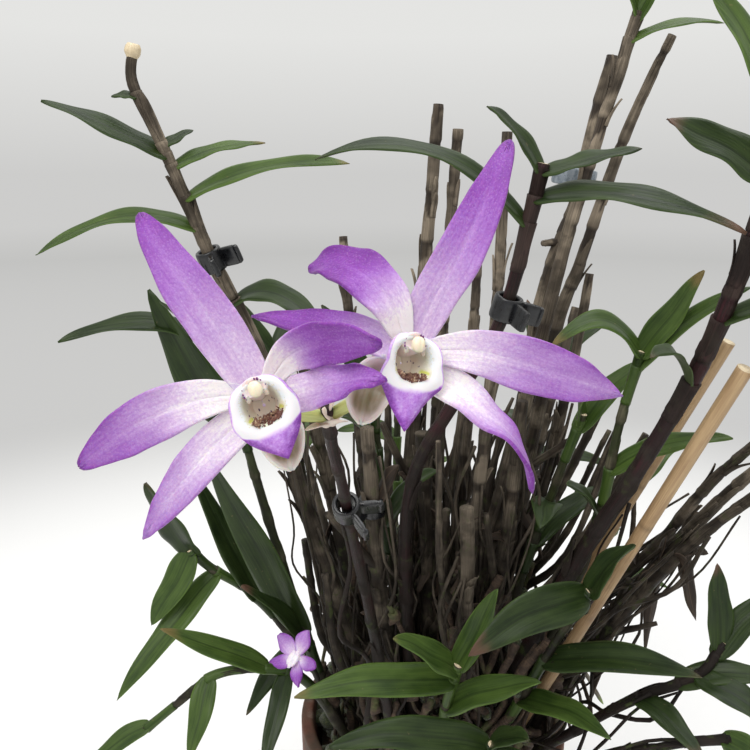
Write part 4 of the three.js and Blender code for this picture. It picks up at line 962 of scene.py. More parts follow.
BARK = bark_paint()
MOSS = moss_paint()
CLAY = pot_paint()
CLIP_BLACK = clip_paint("clip_black", (0.003, 0.003, 0.004), (0.014, 0.016, 0.019))
CLIP_GREY = clip_paint("clip_grey", (0.16, 0.19, 0.22), (0.34, 0.38, 0.42))
ROOT = root_paint()

# Canes

def cane_line(cane, step=1.1):
    x, y = cane["foot"]
    points = [[x, y, SOIL - ROOTING_DEPTH], [x, y, SOIL - 10], [x, y, SOIL + 2], *cane["path"]]
    count = int(distances(route(points, 60))[-1] / step)
    return route(points, count)


def cane_radius(cane, share):
    """Half the cane's thickness. The tall cane dries out towards its cut end."""
    dry = TALL_CANE_DRYING if cane.get("name") == "tall_leafy_cane" else 0.0
    return blend(*cane["thick"], share) / 2 * (1 - dry * smoothstep(share, 0.6, 0.97))


# Which share of an internode its sheath covers, how ragged the sheath's edge is, and how many loose flaps
# and side roots a cane has.
OLD = dict(reach=(0.5, 1.02), ragged=2.6, flaps=14, rootlets=11)
YOUNG = dict(reach=(0.05, 0.35), ragged=1.6, flaps=4, rootlets=3)
GREEN = dict(reach=(0.2, 0.6), ragged=1.2, flaps=1, rootlets=0)


def cane_parts(cane, seed, kind, cut=None):
    """A ringed cane with its papery sheaths, loose flaps and side roots."""
    random = np.random.default_rng(seed)
    line = cane_line(cane)
    s = distances(line)
    length = s[-1]
    rings = [FIRST_RING]
    while rings[-1] < length - 6:
        rings.append(rings[-1] + random.uniform(*RING_GAPS))
    rings = np.array(rings)
    sides = 15
    angle = circle(sides)
    along = s[:, None]
    below = np.clip(np.searchsorted(rings, s, side="right") - 1, 0, len(rings) - 1)
    away = np.abs(along - rings[None]).min(1)
    base = cane_radius(cane, s / length)
    groove = bell(away, 0.45)
    reach = random.uniform(*kind["reach"], len(rings)) * INTERNODE
    slant = random.uniform(0, 2 * np.pi, len(rings))
    edge = reach[below][:, None] + 1.6 * np.cos(angle - slant[below][:, None])
    edge = edge + kind["ragged"] * (rough_round(seed, 20, angle, along * 0.02) - 0.5) * 2
    cover = smoothstep(edge - (s - rings[below])[:, None], 0.0, 0.7)
    ridges = rough_round(seed + 1, 12, angle, along * 0.12) - 0.5
    lumps = rough_round(seed + 2, 3, angle, along * 0.09) - 0.5
    ringed = base * (0.96 + 0.07 * bell(away, 2.2) - 0.07 * groove)
    radius = ringed[:, None] * (1 + 0.13 * ridges + 0.12 * lumps)
    radius = radius + cover * (0.1 + 0.16 * rough_round(seed + 3, 10, angle, along * 0.3))
    stem = tube(line, radius, sides, groove[:, None] * (1 - 0.5 * cover), cover, end=cut)
    stem["grain"] = stem["grain"] + random.uniform(0, 300, 3)
    parts = [stem]
    for _ in range(kind["flaps"]):
        at = random.uniform(ROOTING_DEPTH + 8, length - 14)
        parts.append(flap(line, at, base[np.searchsorted(s, at)], random))
    parts += [rootlet(line, base[0], random) for _ in range(kind["rootlets"])]
    return parts


def rootlet(line, clear, random):
    """A thin dry root that wanders up beside a cane from the mix."""
    low = random.uniform(ROOTING_DEPTH - 2, ROOTING_DEPTH + 12)
    high = min(distances(line)[-1] - 8, low + random.uniform(30, 105))
    count = 7
    spine = part_of(line, low, high, count)
    turn = random.uniform(0, 2 * np.pi)
    turns = []
    outs = []
    for step in range(count):
        turn += random.uniform(-1.0, 1.0)
        turns.append([turn])
        outs.append(clear + random.uniform(0.3, 8.5) * math.sin(math.pi * step / (count - 1)) ** 0.7)
    path = spine + np.array(outs)[:, None] * around(spine, np.array(turns))[:, 0]
    rows = max(12, int((high - low) / 3))
    t = np.linspace(0, 1, rows)
    seed = int(random.integers(1, 10 ** 6))
    radius = random.uniform(0.35, 0.85) * (1 - 0.35 * t) * (0.75 + 0.5 * rough(seed, t * 30, 0.5))
    return tube(route(path, rows), radius, 5, 0.0, 0.6)


def flap(line, at, size, random):
    """A torn strip of dry sheath that has come loose at its top."""
    rows = 9
    height = random.uniform(5, 11)
    spine = part_of(line, at, at + height, rows)
    start = random.uniform(0, 2 * np.pi)
    t, x = shares(rows, 5)
    torn = 1 - 0.85 * t ** random.uniform(1.2, 2.6)
    angle = start + random.uniform(0.5, 1.1) * torn * x + 0.5 * t * random.uniform(-1, 1)
    lift = size + 0.12 + random.uniform(0.5, 2.2) * t ** 2 * (1 - 0.25 * x ** 2)
    middle = spine[:, None] + lift[..., None] * around(spine, angle)
    return sheet(middle, 0.07, grid(size * angle, 0, height * t), 0.0, 1.0)


def spur(line, cane, at, points, seed):
    """A dead flower stalk or side branch, knotted at its joints."""
    stalk = route([point_at(line, at), *points], 20)
    length = distances(stalk)[-1]
    rows = max(18, int(length / 1.4))
    stalk = evenly(stalk, rows)
    t = np.linspace(0, 1, rows)[:, None]
    size = blend(*cane["thick"], at) * SPUR_SHARE
    joints = max(3, round(length / 9))
    knots = np.exp(-((t * joints) % 1 - 0.5) ** 2 / 0.012)
    angle = np.arange(8)[None] * 1.5
    ridges = rough(seed, angle, t * length * 0.2, 12) - 0.5
    lumps = rough(seed + 1, angle / 4, t * length * 0.35, 3) - 0.5
    radius = size * (1 - 0.4 * t) * (1 + 0.12 * knots) * (1 + 0.16 * ridges + 0.2 * lumps)
    cover = smoothstep(rough(seed + 2, angle / 2, t * joints, 6), 0.35, 0.5)
    return tube(stalk, radius, 8, knots * 0.6, cover)


# Leaves

def leaf_width(share):
    return np.maximum(0.03, 0.34 * (1 - share) ** 3 + np.sin(np.pi * share ** 0.8) ** 0.7)


def leaf_part(line, at, tip, rise, width, face=LEAF_FACE, *, seed, wither, paints, rows=30, columns=11):
    """A narrow leaf folded along its keel, with rolled edges and a long point. It has a paint for its front
    and one for its back.
    """
    random = np.random.default_rng(seed)
    root = point_at(line, at)
    end = np.array(tip, float)
    arch = root + (end - root) * 0.45 + [0, 0, rise]
    t = np.linspace(0, 0.998, rows)[:, None]
    middle = (1 - t) ** 2 * root + 2 * t * (1 - t) * arch + t ** 2 * end
    tangent = unit(2 * (1 - t) * (arch - root) + 2 * t * (end - arch))
    side = unit(np.cross(tangent, face))
    out = np.cross(side, tangent)
    x = np.linspace(-1, 1, columns)[None]
    half = width / 2 * leaf_width(t)
    fold = LEAF_FOLD * half * (np.abs(x) ** 1.3 - 0.45 * smoothstep(np.abs(x), 0.7, 1.1))
    wave = 0.05 * width * np.sin(t * random.uniform(9, 16) + np.sign(x) * 1.2 + random.uniform(0, 6))
    fold = fold + wave * x ** 2 * smoothstep(t, 0.05, 0.3)
    sway = 0.05 * width * np.sin(t * random.uniform(5, 9) + random.uniform(0, 6)) * t * (1 - t) * 4
    points = blade(middle + side * sway, side, out, x * half, fold)
    thick = 0.08 + 0.22 * (1 - x ** 2) + 0.25 * (1 - t) ** 8
    offset = random.uniform(0, 200, 3)
    grain = grid(x * half, 0, distances(middle)[:, None]) + offset
    return sheet(points, thick * np.minimum(1, half / 0.6), grain, t * wither, np.abs(x), *paints)


def leaf_sheath(line, cane, at, seed, paint):
    """The leaf's base, which clasps the cane below the blade: green on a young shoot, papery on others."""
    length = distances(line)[-1]
    top = min(at * length + 1.2, length - 0.1)
    low = max(top - 10, 4)
    rows = 14
    t = np.linspace(0, 1, rows)
    fresh = cane["colour"] in ("shoot", "darkLeaf")
    width = cane_radius(cane, np.linspace(low, top, rows) / length) * (1.04 + 0.05 * t)
    radius = width + (0.12 if fresh else 0.02) + 0.22 * t ** 3
    tone, mark, paint = (0.2, 0.5, paint) if fresh else (0.0, 0.8, 0)
    clasp = tube(part_of(line, low, top, rows), radius, 16, tone, mark, paint)
    clasp["grain"] = clasp["grain"] + np.random.default_rng(seed).uniform(0, 100, 3)
    return clasp


def cut_stub(line, radius):
    """The bleached, swollen end of a cane that was cut long ago."""
    length = distances(line)[-1]
    rows = 12
    t = np.linspace(0, 1, rows)[:, None]
    swollen = radius * (0.7 + 0.42 * smoothstep(t, 0.0, 0.45) - 0.25 * smoothstep(t, 0.75, 1.0))
    bumps = 1 + 0.12 * (rough(3, np.arange(16)[None] / 3, t * 4) - 0.5)
    return tube(part_of(line, length - 3.0, length, rows), swollen * bumps, 16, paint=CUT)


# A leafy cane has its skin, then these paints. Each leaf paint is followed by that of the leaf's back.
LEAF_PAINTS = [LEAF, LEAF_BACK, FRESH_LEAF, FRESH_LEAF_BACK, CUT_END]
DARK, FRESH, CUT = 1, 3, 5
KINDS = {
    "oldCane": (OLD_CANE, OLD, "old_cane"), "youngCane": (YOUNG_CANE, YOUNG, "young_cane"),
    "shoot": (GREEN_CANE, GREEN, "young_leaf"), "darkLeaf": (GREEN_CANE, GREEN, "leaf"),
}
DARK_LEAVED = {"tall_leafy_cane", "maroon_cane_centre", "maroon_cane_right", "broad_leafed_shoot",
               "inner_leafy_shoot", "middle_leafy_shoot", "trailing_cane_left", "front_shoot_middle",
               "back_shoot_right", "back_shoot_left", "front_shoot_right", "trailing_cane_right"}


def leafy_cane(cane, seed, extra):
    """A cane with its leaves, and any extra part that grows from it."""
    name = cane["name"]
    skin, kind, slot = KINDS[cane["colour"]]
    random = np.random.default_rng(seed)
    line = cane_line(cane)
    parts = cane_parts(cane, seed, kind, CUT)
    if name == "tall_leafy_cane":
        parts.append(cut_stub(line, cane["thick"][1] / 2))
    for number, one in enumerate(cane["leaves"]):
        paint = DARK if (name in DARK_LEAVED) ^ (random.random() < 0.2) else FRESH
        wither = random.choice([0.8, 0.88, 0.98, 1.1])
        leaf_seed = seed * 31 + number
        parts.append(leaf_part(line, *one, seed=leaf_seed, wither=wither, paints=(paint, paint + 1)))
        parts.append(leaf_sheath(line, cane, one[0], seed * 17 + number, paint))
    piece(name + "_fine", parts + extra, [skin, *LEAF_PAINTS], name)


def old_cane(cane, seed):
    line = cane_line(cane)
    parts = cane_parts(cane, seed, OLD)
    parts += [spur(line, cane, at, points, seed + k) for k, (at, *points) in enumerate(cane["spurs"])]
    parts += dead_leaves(line, seed)
    piece(cane["name"] + "_fine", parts, [OLD_CANE, DEAD_LEAF], cane["name"])


def dead_leaves(line, seed):
    """Withered leaves that still hang from the lower half of an old cane."""
    random = np.random.default_rng(seed + 50)
    length = distances(line)[-1]
    parts = []
    for number in range(DEAD_LEAVES):
        at = random.uniform(ROOTING_DEPTH + 10, ROOTING_DEPTH + 88) / length
        if at > 0.9:
            continue
        turn = random.uniform(0, 2 * np.pi)
        out = random.uniform(3, 9)
        tip = point_at(line, at) + [out * math.cos(turn), out * math.sin(turn), random.uniform(-28, 14)]
        face = [random.uniform(-1, 1), random.uniform(-1, 1), 0.4]
        width = random.uniform(2.2, 4.6)
        rise = random.uniform(-3, 6)
        parts.append(leaf_part(line, at, tip, rise, width, face, seed=seed * 7 + number, wither=0.7,
                               paints=(1, 1), rows=14, columns=7))
    return parts


# Closed lumps: a sphere-like grid with its own radii, squareness and bumps

def lump(radii, move, rows=12, sides=18, square=1.0, seed=0, bumps=0.0, tone=0.0, mark=0.0, paint=0):
    lat = np.linspace(-np.pi / 2, np.pi / 2, rows + 2)[1:-1, None]
    lon = circle(sides)
    wide, high = power(np.cos(lat), square), power(np.sin(lat), square)
    shape = grid(wide * power(np.cos(lon), square), wide * power(np.sin(lon), square), high)
    swell = 1 + bumps * (rough_round(seed, 5, lon, lat * 3 + 7) - 0.5) * 2
    local = (shape * swell[..., None]).reshape(-1, 3) * radii
    local = np.vstack([local, [0, 0, -radii[2]], [0, 0, radii[2]]])
    return part(move(local), closed_faces(rows, sides), local, tone, mark, paint)


# Blooms

PLANE = np.array([
    [1, 0, 0],
    [0, math.sin(BLOOM_LEAN), math.cos(BLOOM_LEAN)],
    [0, -math.cos(BLOOM_LEAN), math.sin(BLOOM_LEAN)]])


def in_plane(bloom, points):
    return np.asarray(points, float) @ PLANE + bloom["centre"]


def in_bloom(bloom, points):
    """Places points of the bloom's own frame, with y up to the dorsal sepal and z out of its mouth."""
    out = unit(bloom["out"])
    right = unit(np.cross(bloom["up"], out))
    up = np.cross(out, right)
    return in_plane(bloom, np.asarray(points, float) @ np.array([right, up, out]) + bloom["heart"])


def petal_width(share, tip=0.6):
    blunt = blend(0.75, tip, smoothstep(share, 0.6, 1.0))
    return np.maximum(0.025, 0.3 * (1 - share) ** 3 + np.sin(np.pi * share ** 1.15) ** blunt)


def sepal_width(share, tip):
    blunt = blend(0.8, tip, smoothstep(share, 0.6, 1.0))
    return np.maximum(0.05, 0.7 * (1 - share) ** 4 + np.sin(np.pi * share ** 0.9) ** blunt)


def turned(side, tangent, angle):
    """Turns the side steps about the tangents."""
    return side * np.cos(angle) + np.cross(tangent, side) * np.sin(angle)


def tepal(bloom, data, width_at, look, seed):
    """A petal or sepal with the look that LOOKS gives it."""
    root, tip, start, end, edge, wave, point = look
    rows = 72
    line = route(data["line"], rows)
    tangent = unit(np.gradient(line, axis=0))
    t, x = shares(rows, 25)
    side = turned(unit(np.cross(tangent, [0, 0, 1])), tangent, np.radians(blend(*data["turn"], t)))
    face = np.cross(side, tangent)
    half = data["width"] / 2 * width_at(t, point)
    ripple = wave * np.sin(t * 22 + seed) * np.abs(x) ** 3 * smoothstep(t, 0.1, 0.4)
    ripple = ripple + 0.5 * wave * (rough(seed, x * 2 + 5, t * 9) - 0.5)
    groove = -0.16 * bell(x, 0.08) * smoothstep(t, 0.0, 0.15) * (1 - t)
    ribs = 0.02 * np.cos(x * 26) * (1 - np.abs(x))
    edges = 1 + 0.02 * (rough(seed + 4, t * 16, x * 0 + 3) - 0.5)
    lift = 0.16 * x ** 2 * half + ripple + groove + ribs
    middle = blade(line, side, face, x * half * edges, lift)
    thick = (0.2 + 0.14 * (1 - x ** 2)) * np.minimum(1, half / 0.5) + 0.12 * (1 - t) ** 6
    flush = root + (tip - root) * smoothstep(t, start, end)
    flush = flush + edge * np.abs(x) ** 4 * smoothstep(t, 0.1, 0.6) + 0.14 * smoothstep(t, 0.9, 1.0)
    flush = flush - 0.08 * bell(x, 0.2) * smoothstep(t, 0.15, 0.4)
    grain = grid(x * half + 9 * seed, 0, distances(line)[:, None])
    return sheet(in_plane(bloom, middle), thick, grain, flush, np.abs(x))


def chin_part(bloom):
    """The scooped chin behind a bloom, with a pale rim."""
    rows = 36
    line = route(bloom["chin"], rows)
    tangent = unit(np.gradient(line, axis=0))
    t, x = shares(rows, 25)
    side = unit(np.cross(tangent, [0, 0, 1]))
    half = CHIN_HALF_WIDTH * np.sqrt(1.02 - (1.7 * t - 0.7) ** 2)
    scoop = CHIN_SCOOP * x ** 2 * (1 - 0.7 * t) + 0.25 * bell(x, 0.1) * t
    middle = blade(line, side, np.cross(side, tangent), x * half, scoop)
    rim = np.minimum(1, smoothstep(np.abs(x), 0.55, 0.96) + smoothstep(t, 0.8, 0.98))
    root = 1 - smoothstep(t, 0.05, 0.45)
    return sheet(in_plane(bloom, middle), 0.2, grid(x * half, 0, t * 9), rim, root, 1)


def lip_reach(turn, lip):
    """The lip's outer edge: almost straight from its point to each corner, narrow round the side lobes."""
    away = np.abs(turn)
    corner_at = lip["cornerAt"]
    front = np.minimum(away, corner_at)
    to_point = lip["corner"] * np.sin(corner_at - front)
    to_corner = lip["point"] * np.sin(front)
    straight = lip["point"] * lip["corner"] * math.sin(corner_at) / (to_point + to_corner)
    straight = straight + lip["bulge"] * np.sin(math.pi * front / corner_at)
    lobes = blend(lip["corner"], LIP_SIDE, smoothstep(away, corner_at, corner_at + LIP_BLEND))
    lobes = lobes - 0.45 * smoothstep(away, 2.1, 2.9)
    return np.where(away > corner_at, lobes, straight)


def lip_span(along):
    """How far round the hollow each half of the lip reaches, in radians."""
    return blend(*LIP_CLOSING, along)


def lip_shape(bloom, across, along):
    """Points of the lip's middle layer, their angles and radii, and the radius of the outer edge there."""
    turn = across * lip_span(along)
    cup = np.hypot(CUP_WIDTH * np.sin(turn), CUP_HEIGHT * np.cos(turn))
    flare = np.maximum(0, (along - CUP_SHARE) / (1 - CUP_SHARE))
    reach = lip_reach(turn, bloom["lip"])
    radius = np.where(along < CUP_SHARE, cup * (along + CUP_START) / CUP_SCALE, blend(cup, reach, flare))
    lobe = np.sin(np.minimum(math.pi / 2, np.abs(turn))) ** 4 * (1 - 0.8 * smoothstep(np.abs(turn), 2.0, 2.8))
    depth = blend(LIP_FLOOR, LIP_CREST, smoothstep(along, 0.3, 0.65))
    depth = depth + (LIP_RISE * lobe - LIP_DROOP) * flare ** 2
    depth = depth + 0.22 * np.sin(math.pi * np.minimum(1, flare * 1.2)) - 0.3 * flare ** 5
    depth = depth + 0.08 * np.sin(turn * 7 + bloom["lip"]["point"]) * flare ** 2
    depth = depth - 0.3 * bell(turn, 0.12) * flare * (1 - flare)
    return grid(-radius * np.sin(turn), -radius * np.cos(turn), depth), turn, radius, reach


def lip_parts(bloom, seed):
    lip = bloom["lip"]
    along, across = shares(70, 141)
    points, turn, radius, reach = lip_shape(bloom, across, along)
    away = np.abs(turn)
    white = blend(3.15, 4.45, smoothstep(away, 0, 1.15))
    white = white + 0.25 * (rough(seed, turn * 4 + 20, along * 2) - 0.5)
    soft = blend(1.0, 0.35, smoothstep(away, 0.1, 0.7))
    front = 1 - smoothstep(away, lip["cornerAt"], lip["cornerAt"] + 0.12)
    tip = smoothstep(radius, white, white + soft) * front
    edge = 1 - smoothstep(reach - radius, 0.0, 1.1)
    end = smoothstep(radius, 0.7 * lip["point"], lip["point"])
    line = smoothstep(along, 0.955, 0.985) * smoothstep(away, 0.8, 1.2)
    violet = np.minimum(1, tip * (0.5 + 0.5 * np.maximum(edge, 0.75 * end)) + 0.4 * line)
    zone = np.interp(along, [0, 0.44, 0.5, 0.56, 0.6, 0.66], [0.66, 0.66, 0.62, 0.45, 0.2, 0])
    patch = bell(away - 1.06, 0.2) * smoothstep(along, 0.46, 0.52) * (1 - smoothstep(along, 0.62, 0.68))
    thick = 0.17 + 0.1 * np.sin(np.pi * along)
    return [sheet(in_bloom(bloom, points), thick, points, violet, blend(zone, 1.0, patch)),
            *lip_hairs(bloom, seed)]


def band_root(random):
    """A place in the band of hairs across the front of the hollow: its angle and its share of the way out."""
    x = random.uniform(-BAND_HALF, BAND_HALF)
    y = -1.95 - 0.08 * math.cos(x * 1.4) + random.uniform(-0.62, 0.6) * (1 - 0.3 * abs(x) / BAND_HALF)
    turn = math.atan2(-x, -y)
    cup = math.hypot(CUP_WIDTH * math.sin(turn), CUP_HEIGHT * math.cos(turn))
    return turn, min(CUP_SHARE, CUP_SCALE * math.hypot(x, y) / cup - CUP_START)


def rim_root(random):
    """A place in the rows of papillae at the two sides of the hollow's rim."""
    turn = random.choice((-1, 1)) * random.uniform(0.9, 2.5)
    return turn, random.uniform(0.44, 0.68)


def lip_hairs(bloom, seed):
    """The lumpy band of hairs across the front of the hollow, and the fine papillae round its rim."""
    random = np.random.default_rng(seed)
    out = in_bloom(bloom, [[0, 0, 1]])[0] - in_bloom(bloom, [[0, 0, 0]])[0]
    parts = []
    for number in range(LIP_HAIRS):
        band = number < BAND_HAIRS
        turn, along = band_root(random) if band else rim_root(random)
        across = turn / lip_span(along)
        near = lip_shape(bloom, across + np.array([0, 0.01, 0]), along + np.array([0, 0, 0.01]))[0]
        spot, beside, beyond = in_bloom(bloom, near)
        normal = unit(np.cross(beyond - spot, beside - spot))
        normal = normal if np.dot(normal, out) > 0 else -normal
        lean = unit(normal + 0.9 * out + random.normal(0, 0.3, 3))
        clump = float(rough(seed + 5, turn * 7 + 30, along * 22))
        if band:
            length = (0.3 + 0.65 * clump) * random.uniform(0.8, 1.2)
            width = random.uniform(0.10, 0.155)
            pale = max(0, clump - 0.35) * random.uniform(0.3, 1.2)
        else:
            length = random.uniform(0.16, 0.34)
            width = random.uniform(0.09, 0.14)
            pale = random.uniform(0.75, 1.0)
        line = spot + lean * length * np.array([[0], [0.5], [1]])
        # Each hair lightens towards its tip: on the band this is painted highlight on the lumpy clumps, over
        # their own maroon; the papillae are their own beige
        tone = np.array([pale * 0.5, pale, min(1, pale + 0.3)])
        parts.append(tube(line, width * np.array([1, 0.95, 0.5]), 5, tone, paint=1))
    return parts


# Purple dots on the face of the hood: across, up, and size
COLUMN_DOTS = [(-1.30, 1.25, 0.7), (-1.46, 1.6, 1.0), (-1.47, 1.95, 0.8), (-1.36, 2.5, 0.6),
               (0.55, 3.14, 0.9), (0.86, 2.98, 1.3), (1.16, 2.7, 0.7), (1.47, 2.0, 0.6)]


def hood_part(bloom):
    """The pinkish hood. Its last two rings turn in at the mouth."""
    rows, sides = 60, 72
    line = route([[0, 2.1, 2], [0, 2.15, 4], [0, 2.05, HOOD_FRONT]], rows)
    t = np.linspace(0, 1, rows)[:, None]
    angle = circle(sides)
    mouth = 1 - 0.1 * smoothstep(t, 0.9, 1.0)
    wide = blend(1.4, 1.72, smoothstep(t, 0.2, 0.9)) * mouth
    hollow = 1 - 0.35 * np.maximum(0, -np.sin(angle)) * smoothstep(t, 0.3, 1.0)
    y = 1.42 * np.sin(angle) * hollow * mouth + line[:, None, 1]
    local = grid(wide * np.cos(angle), y, line[:, None, 2] - 0.4 * t * np.abs(np.cos(angle)))
    inner = [blend(line[-1], local[-1], share) - [0, 0, 0.9 * (1 - share)] for share in (0.8, 0.5)]
    points = np.vstack([local.reshape(-1, 3), *inner, line[0], line[-1] + [0, 0, -0.6]])
    return part(in_bloom(bloom, points), closed_faces(rows + 2, sides), points, 0.0, 0.0)


def column_parts(bloom):
    """The hood, the ivory cap in its mouth, its two arms and its purple dots."""

    def cap_place(p):
        groove = 0.07 * bell(p[:, 0], 0.14) * (p[:, 2] > 0)
        return in_bloom(bloom, p + [0.15, 1.95, HOOD_FRONT] - groove[:, None] * [0, 0, 1])

    parts = [hood_part(bloom), lump((0.86, 0.98, 0.75), cap_place, 24, 32, 0.92, 3, 0.02, tone=1.0)]
    for side in (-1, 1):
        lean = np.array([[0.85, 0.3 * side, 0], [-0.3 * side, 0.9, 0], [0, 0, 1]])
        at = np.array([1.12 * side, 1.15, HOOD_FRONT - 0.5])
        parts.append(lump((0.38, 0.5, 0.25), lambda p: in_bloom(bloom, p @ lean + at),
                          12, 18, 1.0, 5, 0.05, tone=0.45))
    for number, (across, up, size) in enumerate(COLUMN_DOTS):
        shape = np.array([0.12, 0.17, 0.1]) * size
        at = np.array([across, up, HOOD_FRONT - 0.06 - 0.22 * abs(across)])
        parts.append(lump(shape, lambda p: in_bloom(bloom, p + at), 8, 12, 1.0, number, 0.2, mark=1.0))
    return parts


def bloom_pieces(bloom, seed):
    """The petals, lip, column and stalk of one open bloom."""
    name = bloom["name"]
    tepals = [(data, sepal_width) for data in bloom["sepals"]]
    tepals += [(data, petal_width) for data in bloom["petals"]]
    parts = []
    for number, (data, width_at) in enumerate(tepals):
        parts.append(tepal(bloom, data, width_at, LOOKS[name][number], seed + number))
    parts.append(chin_part(bloom))
    heart = np.array(bloom["heart"]) * HUB_SHIFT
    hub_size = (HUB_RADIUS, HUB_RADIUS, 0.8 * HUB_RADIUS)
    parts.append(lump(hub_size, lambda p: in_plane(bloom, p + heart + [0, 0, -HUB_DEPTH]), 14, 24, tone=0.1))
    piece(name + "_petals_fine", parts, [PETAL, CHIN], name + "_petals")
    piece(name + "_lip_fine", lip_parts(bloom, seed), [LIP, HAIR], name + "_lip")
    piece(name + "_column_fine", column_parts(bloom), [COLUMN], name + "_column")
    start = point_at(cane_line(FLOWER_CANE), 0.985)
    behind, end = in_plane(bloom, [heart + [0, -1.5, -9], heart + [0, 0, -HUB_DEPTH - 1]])
    rows = 60
    t = np.linspace(0, 1, rows)
    radius = blend(0.9, 1.2, t) * (1 + 0.05 * np.sin(t * 9)) + 0.25 * smoothstep(t, 0.85, 1)
    stalk = [tube(route([start, behind, end], rows), radius)]
    stalk += [bract(start, behind - start, turn) for turn in (0.4, 2.4, 4.4)]
    piece(name + "_pedicel_fine", stalk, [STALK], name + "_pedicel")


def bract(foot, way, turn):
    """A small papery scale at the foot of a flower stalk."""
    rows = 14
    length = 4.2 - turn * 0.3
    spine = foot + unit(way)[None] * np.linspace(-1, length, rows)[:, None]
    t, x = shares(rows, 9)
    angle = turn + x * 0.9 * (1 - t ** 2 * 0.9)
    middle = spine[:, None] + (1.35 + 0.9 * t ** 2)[..., None] * around(spine, angle)
    return sheet(middle, 0.08, grid(angle, 0, length * t), 1.0)


# For each sepal and then each petal: the flush at its root and tip, where it starts and ends, how much
# deeper its edges are, its wave, and how fine its point is, where a smaller value is blunter.
LOOKS = {
    "left_bloom": [(0.16, 0.86, 0.0, 1.0, 0.08, 0.16, 0.55), (0.06, 0.5, 0.08, 1.0, 0.22, 0.2, 0.75),
                   (0.1, 0.72, 0.1, 0.9, 0.2, 0.45, 0.7), (-0.02, 0.62, 0.08, 0.85, 0.22, 0.22, 0.62),
                   (-0.05, 0.8, 0.15, 0.55, 0.1, 0.22, 0.6)],
    "right_bloom": [(0.18, 0.86, 0.0, 0.85, 0.08, 0.16, 0.55), (0.0, 0.85, 0.2, 1.0, 0.28, 0.18, 0.6),
                    (0.2, 0.95, 0.0, 0.75, 0.2, 0.18, 0.7), (-0.05, 0.95, 0.1, 0.62, 0.14, 0.35, 0.6),
                    (0.02, 0.5, 0.08, 0.66, 0.22, 0.24, 0.95)],
}


def small_bloom():
    """The third bloom, low on the left."""
    centre = np.array(SMALL["centre"], float)
    out = unit(SMALL["out"])
    right = unit(np.cross([0, 0, 1], out))
    axes = np.array([right, np.cross(out, right), out])

    def place(p):
        return np.asarray(p, float) @ axes + centre

    random = np.random.default_rng(12)
    parts = []
    t, x = shares(28, 13)
    for number in range(5):
        angle = 2 * np.pi * number / 5 + 0.3 + random.uniform(-0.25, 0.25)
        along = np.array([math.sin(angle), math.cos(angle), 0])
        across = np.array([math.cos(angle), -math.sin(angle), 0])
        half = random.uniform(1.6, 2.3) * petal_width(t)
        reach = random.uniform(6.2, 7.4) * t + 0.6
        bend = random.uniform(-1.5, 1.2)
        lift = 2.2 * t - 1.5 * t ** 2 + bend * t ** 2 + 0.35 * x ** 2
        lift = lift + 0.5 * np.sin(8 * t + 2 * number) * x * t
        swing = random.uniform(-1.4, 1.4) * t ** 2
        middle = reach[..., None] * along + (half * x + swing)[..., None] * across
        middle = middle + lift[..., None] * [0, 0, 1]
        flush = 0.1 + random.uniform(0.3, 0.65) * smoothstep(t, 0.1, 0.7) + 0.25 * x ** 4
        grain = grid(half * x + 9 * number, 0, 7 * t)
        parts.append(sheet(place(middle), 0.22 * np.minimum(1, half / 0.5), grain, flush, np.abs(x)))
    parts.append(lump((1.6, 1.6, 1.5), lambda p: place(p + [0, 0, -0.2]), tone=0.02))
    lean = np.array([[1, 0, 0], [0, 0.4, 0.9], [0, -0.9, 0.4]])
    for side in (-0.7, 0, 0.7):
        tip = np.array([side, -1.2 + abs(side), 1.6])
        parts.append(lump((0.8, 0.6, 1.9), lambda p: place(p @ lean + tip), 14, 20, 1.0, 4, 0.1, tone=0.05))
    piece("small_bloom_fine", parts, [PETAL], "small_bloom")


def small_stalk():
    start = point_at(cane_line(LOW_CANE), SMALL["at"])
    end = np.array(SMALL["centre"], float) - unit(SMALL["out"]) * 1.95
    rows = 24
    line = route([start, start + (end - start) * 0.5 + [0, 2, 1], end], rows)
    return tube(line, np.full(rows, 0.8), 10, mark=0.2)


# Pot and mix

def pot_inside(z):
    return blend(POT_BASE_RADIUS - POT_WALL, POT_RIM_RADIUS - POT_WALL, z / POT_HEIGHT)


BED_LIMIT = pot_inside(SOIL) - 3


def lathe(profile, sides, bumps):
    """Points and faces of a profile turned about the pot's axis, then moved by the bumps."""
    profile = np.array(profile, float)
    angle = circle(sides)
    r, z = bumps(profile[:, 0, None] + 0 * angle, profile[:, 1, None] + 0 * angle, angle)
    points = grid(r * np.cos(angle), r * np.sin(angle), z).reshape(-1, 3)
    centre = [[0, 0, float(z[0].mean())], [0, 0, float(z[-1].mean())]]
    return np.vstack([points, centre]), closed_faces(len(profile), sides)


def rounded(corners, size):
    """A profile with its inner corners rounded."""
    corners = np.array(corners, float)
    out = [corners[0]]
    for before, at, after in zip(corners, corners[1:], corners[2:]):
        a = at + unit(before - at) * min(size, np.linalg.norm(before - at) * 0.45)
        b = at + unit(after - at) * min(size, np.linalg.norm(after - at) * 0.45)
        for t in np.linspace(0, 1, 5):
            out.append((1 - t) ** 2 * a + 2 * t * (1 - t) * at + t ** 2 * b)
    out.append(corners[-1])
    return out


def dense(profile, step):
    """A profile with points added so that none lie further apart than a step."""
    out = [np.array(profile[0], float)]
    for a, b in zip(profile, profile[1:]):
        a, b = np.array(a, float), np.array(b, float)
        count = max(1, int(np.ceil(np.linalg.norm(b - a) / step)))
        out += [a + (b - a) * k / count for k in range(1, count + 1)]
    return out


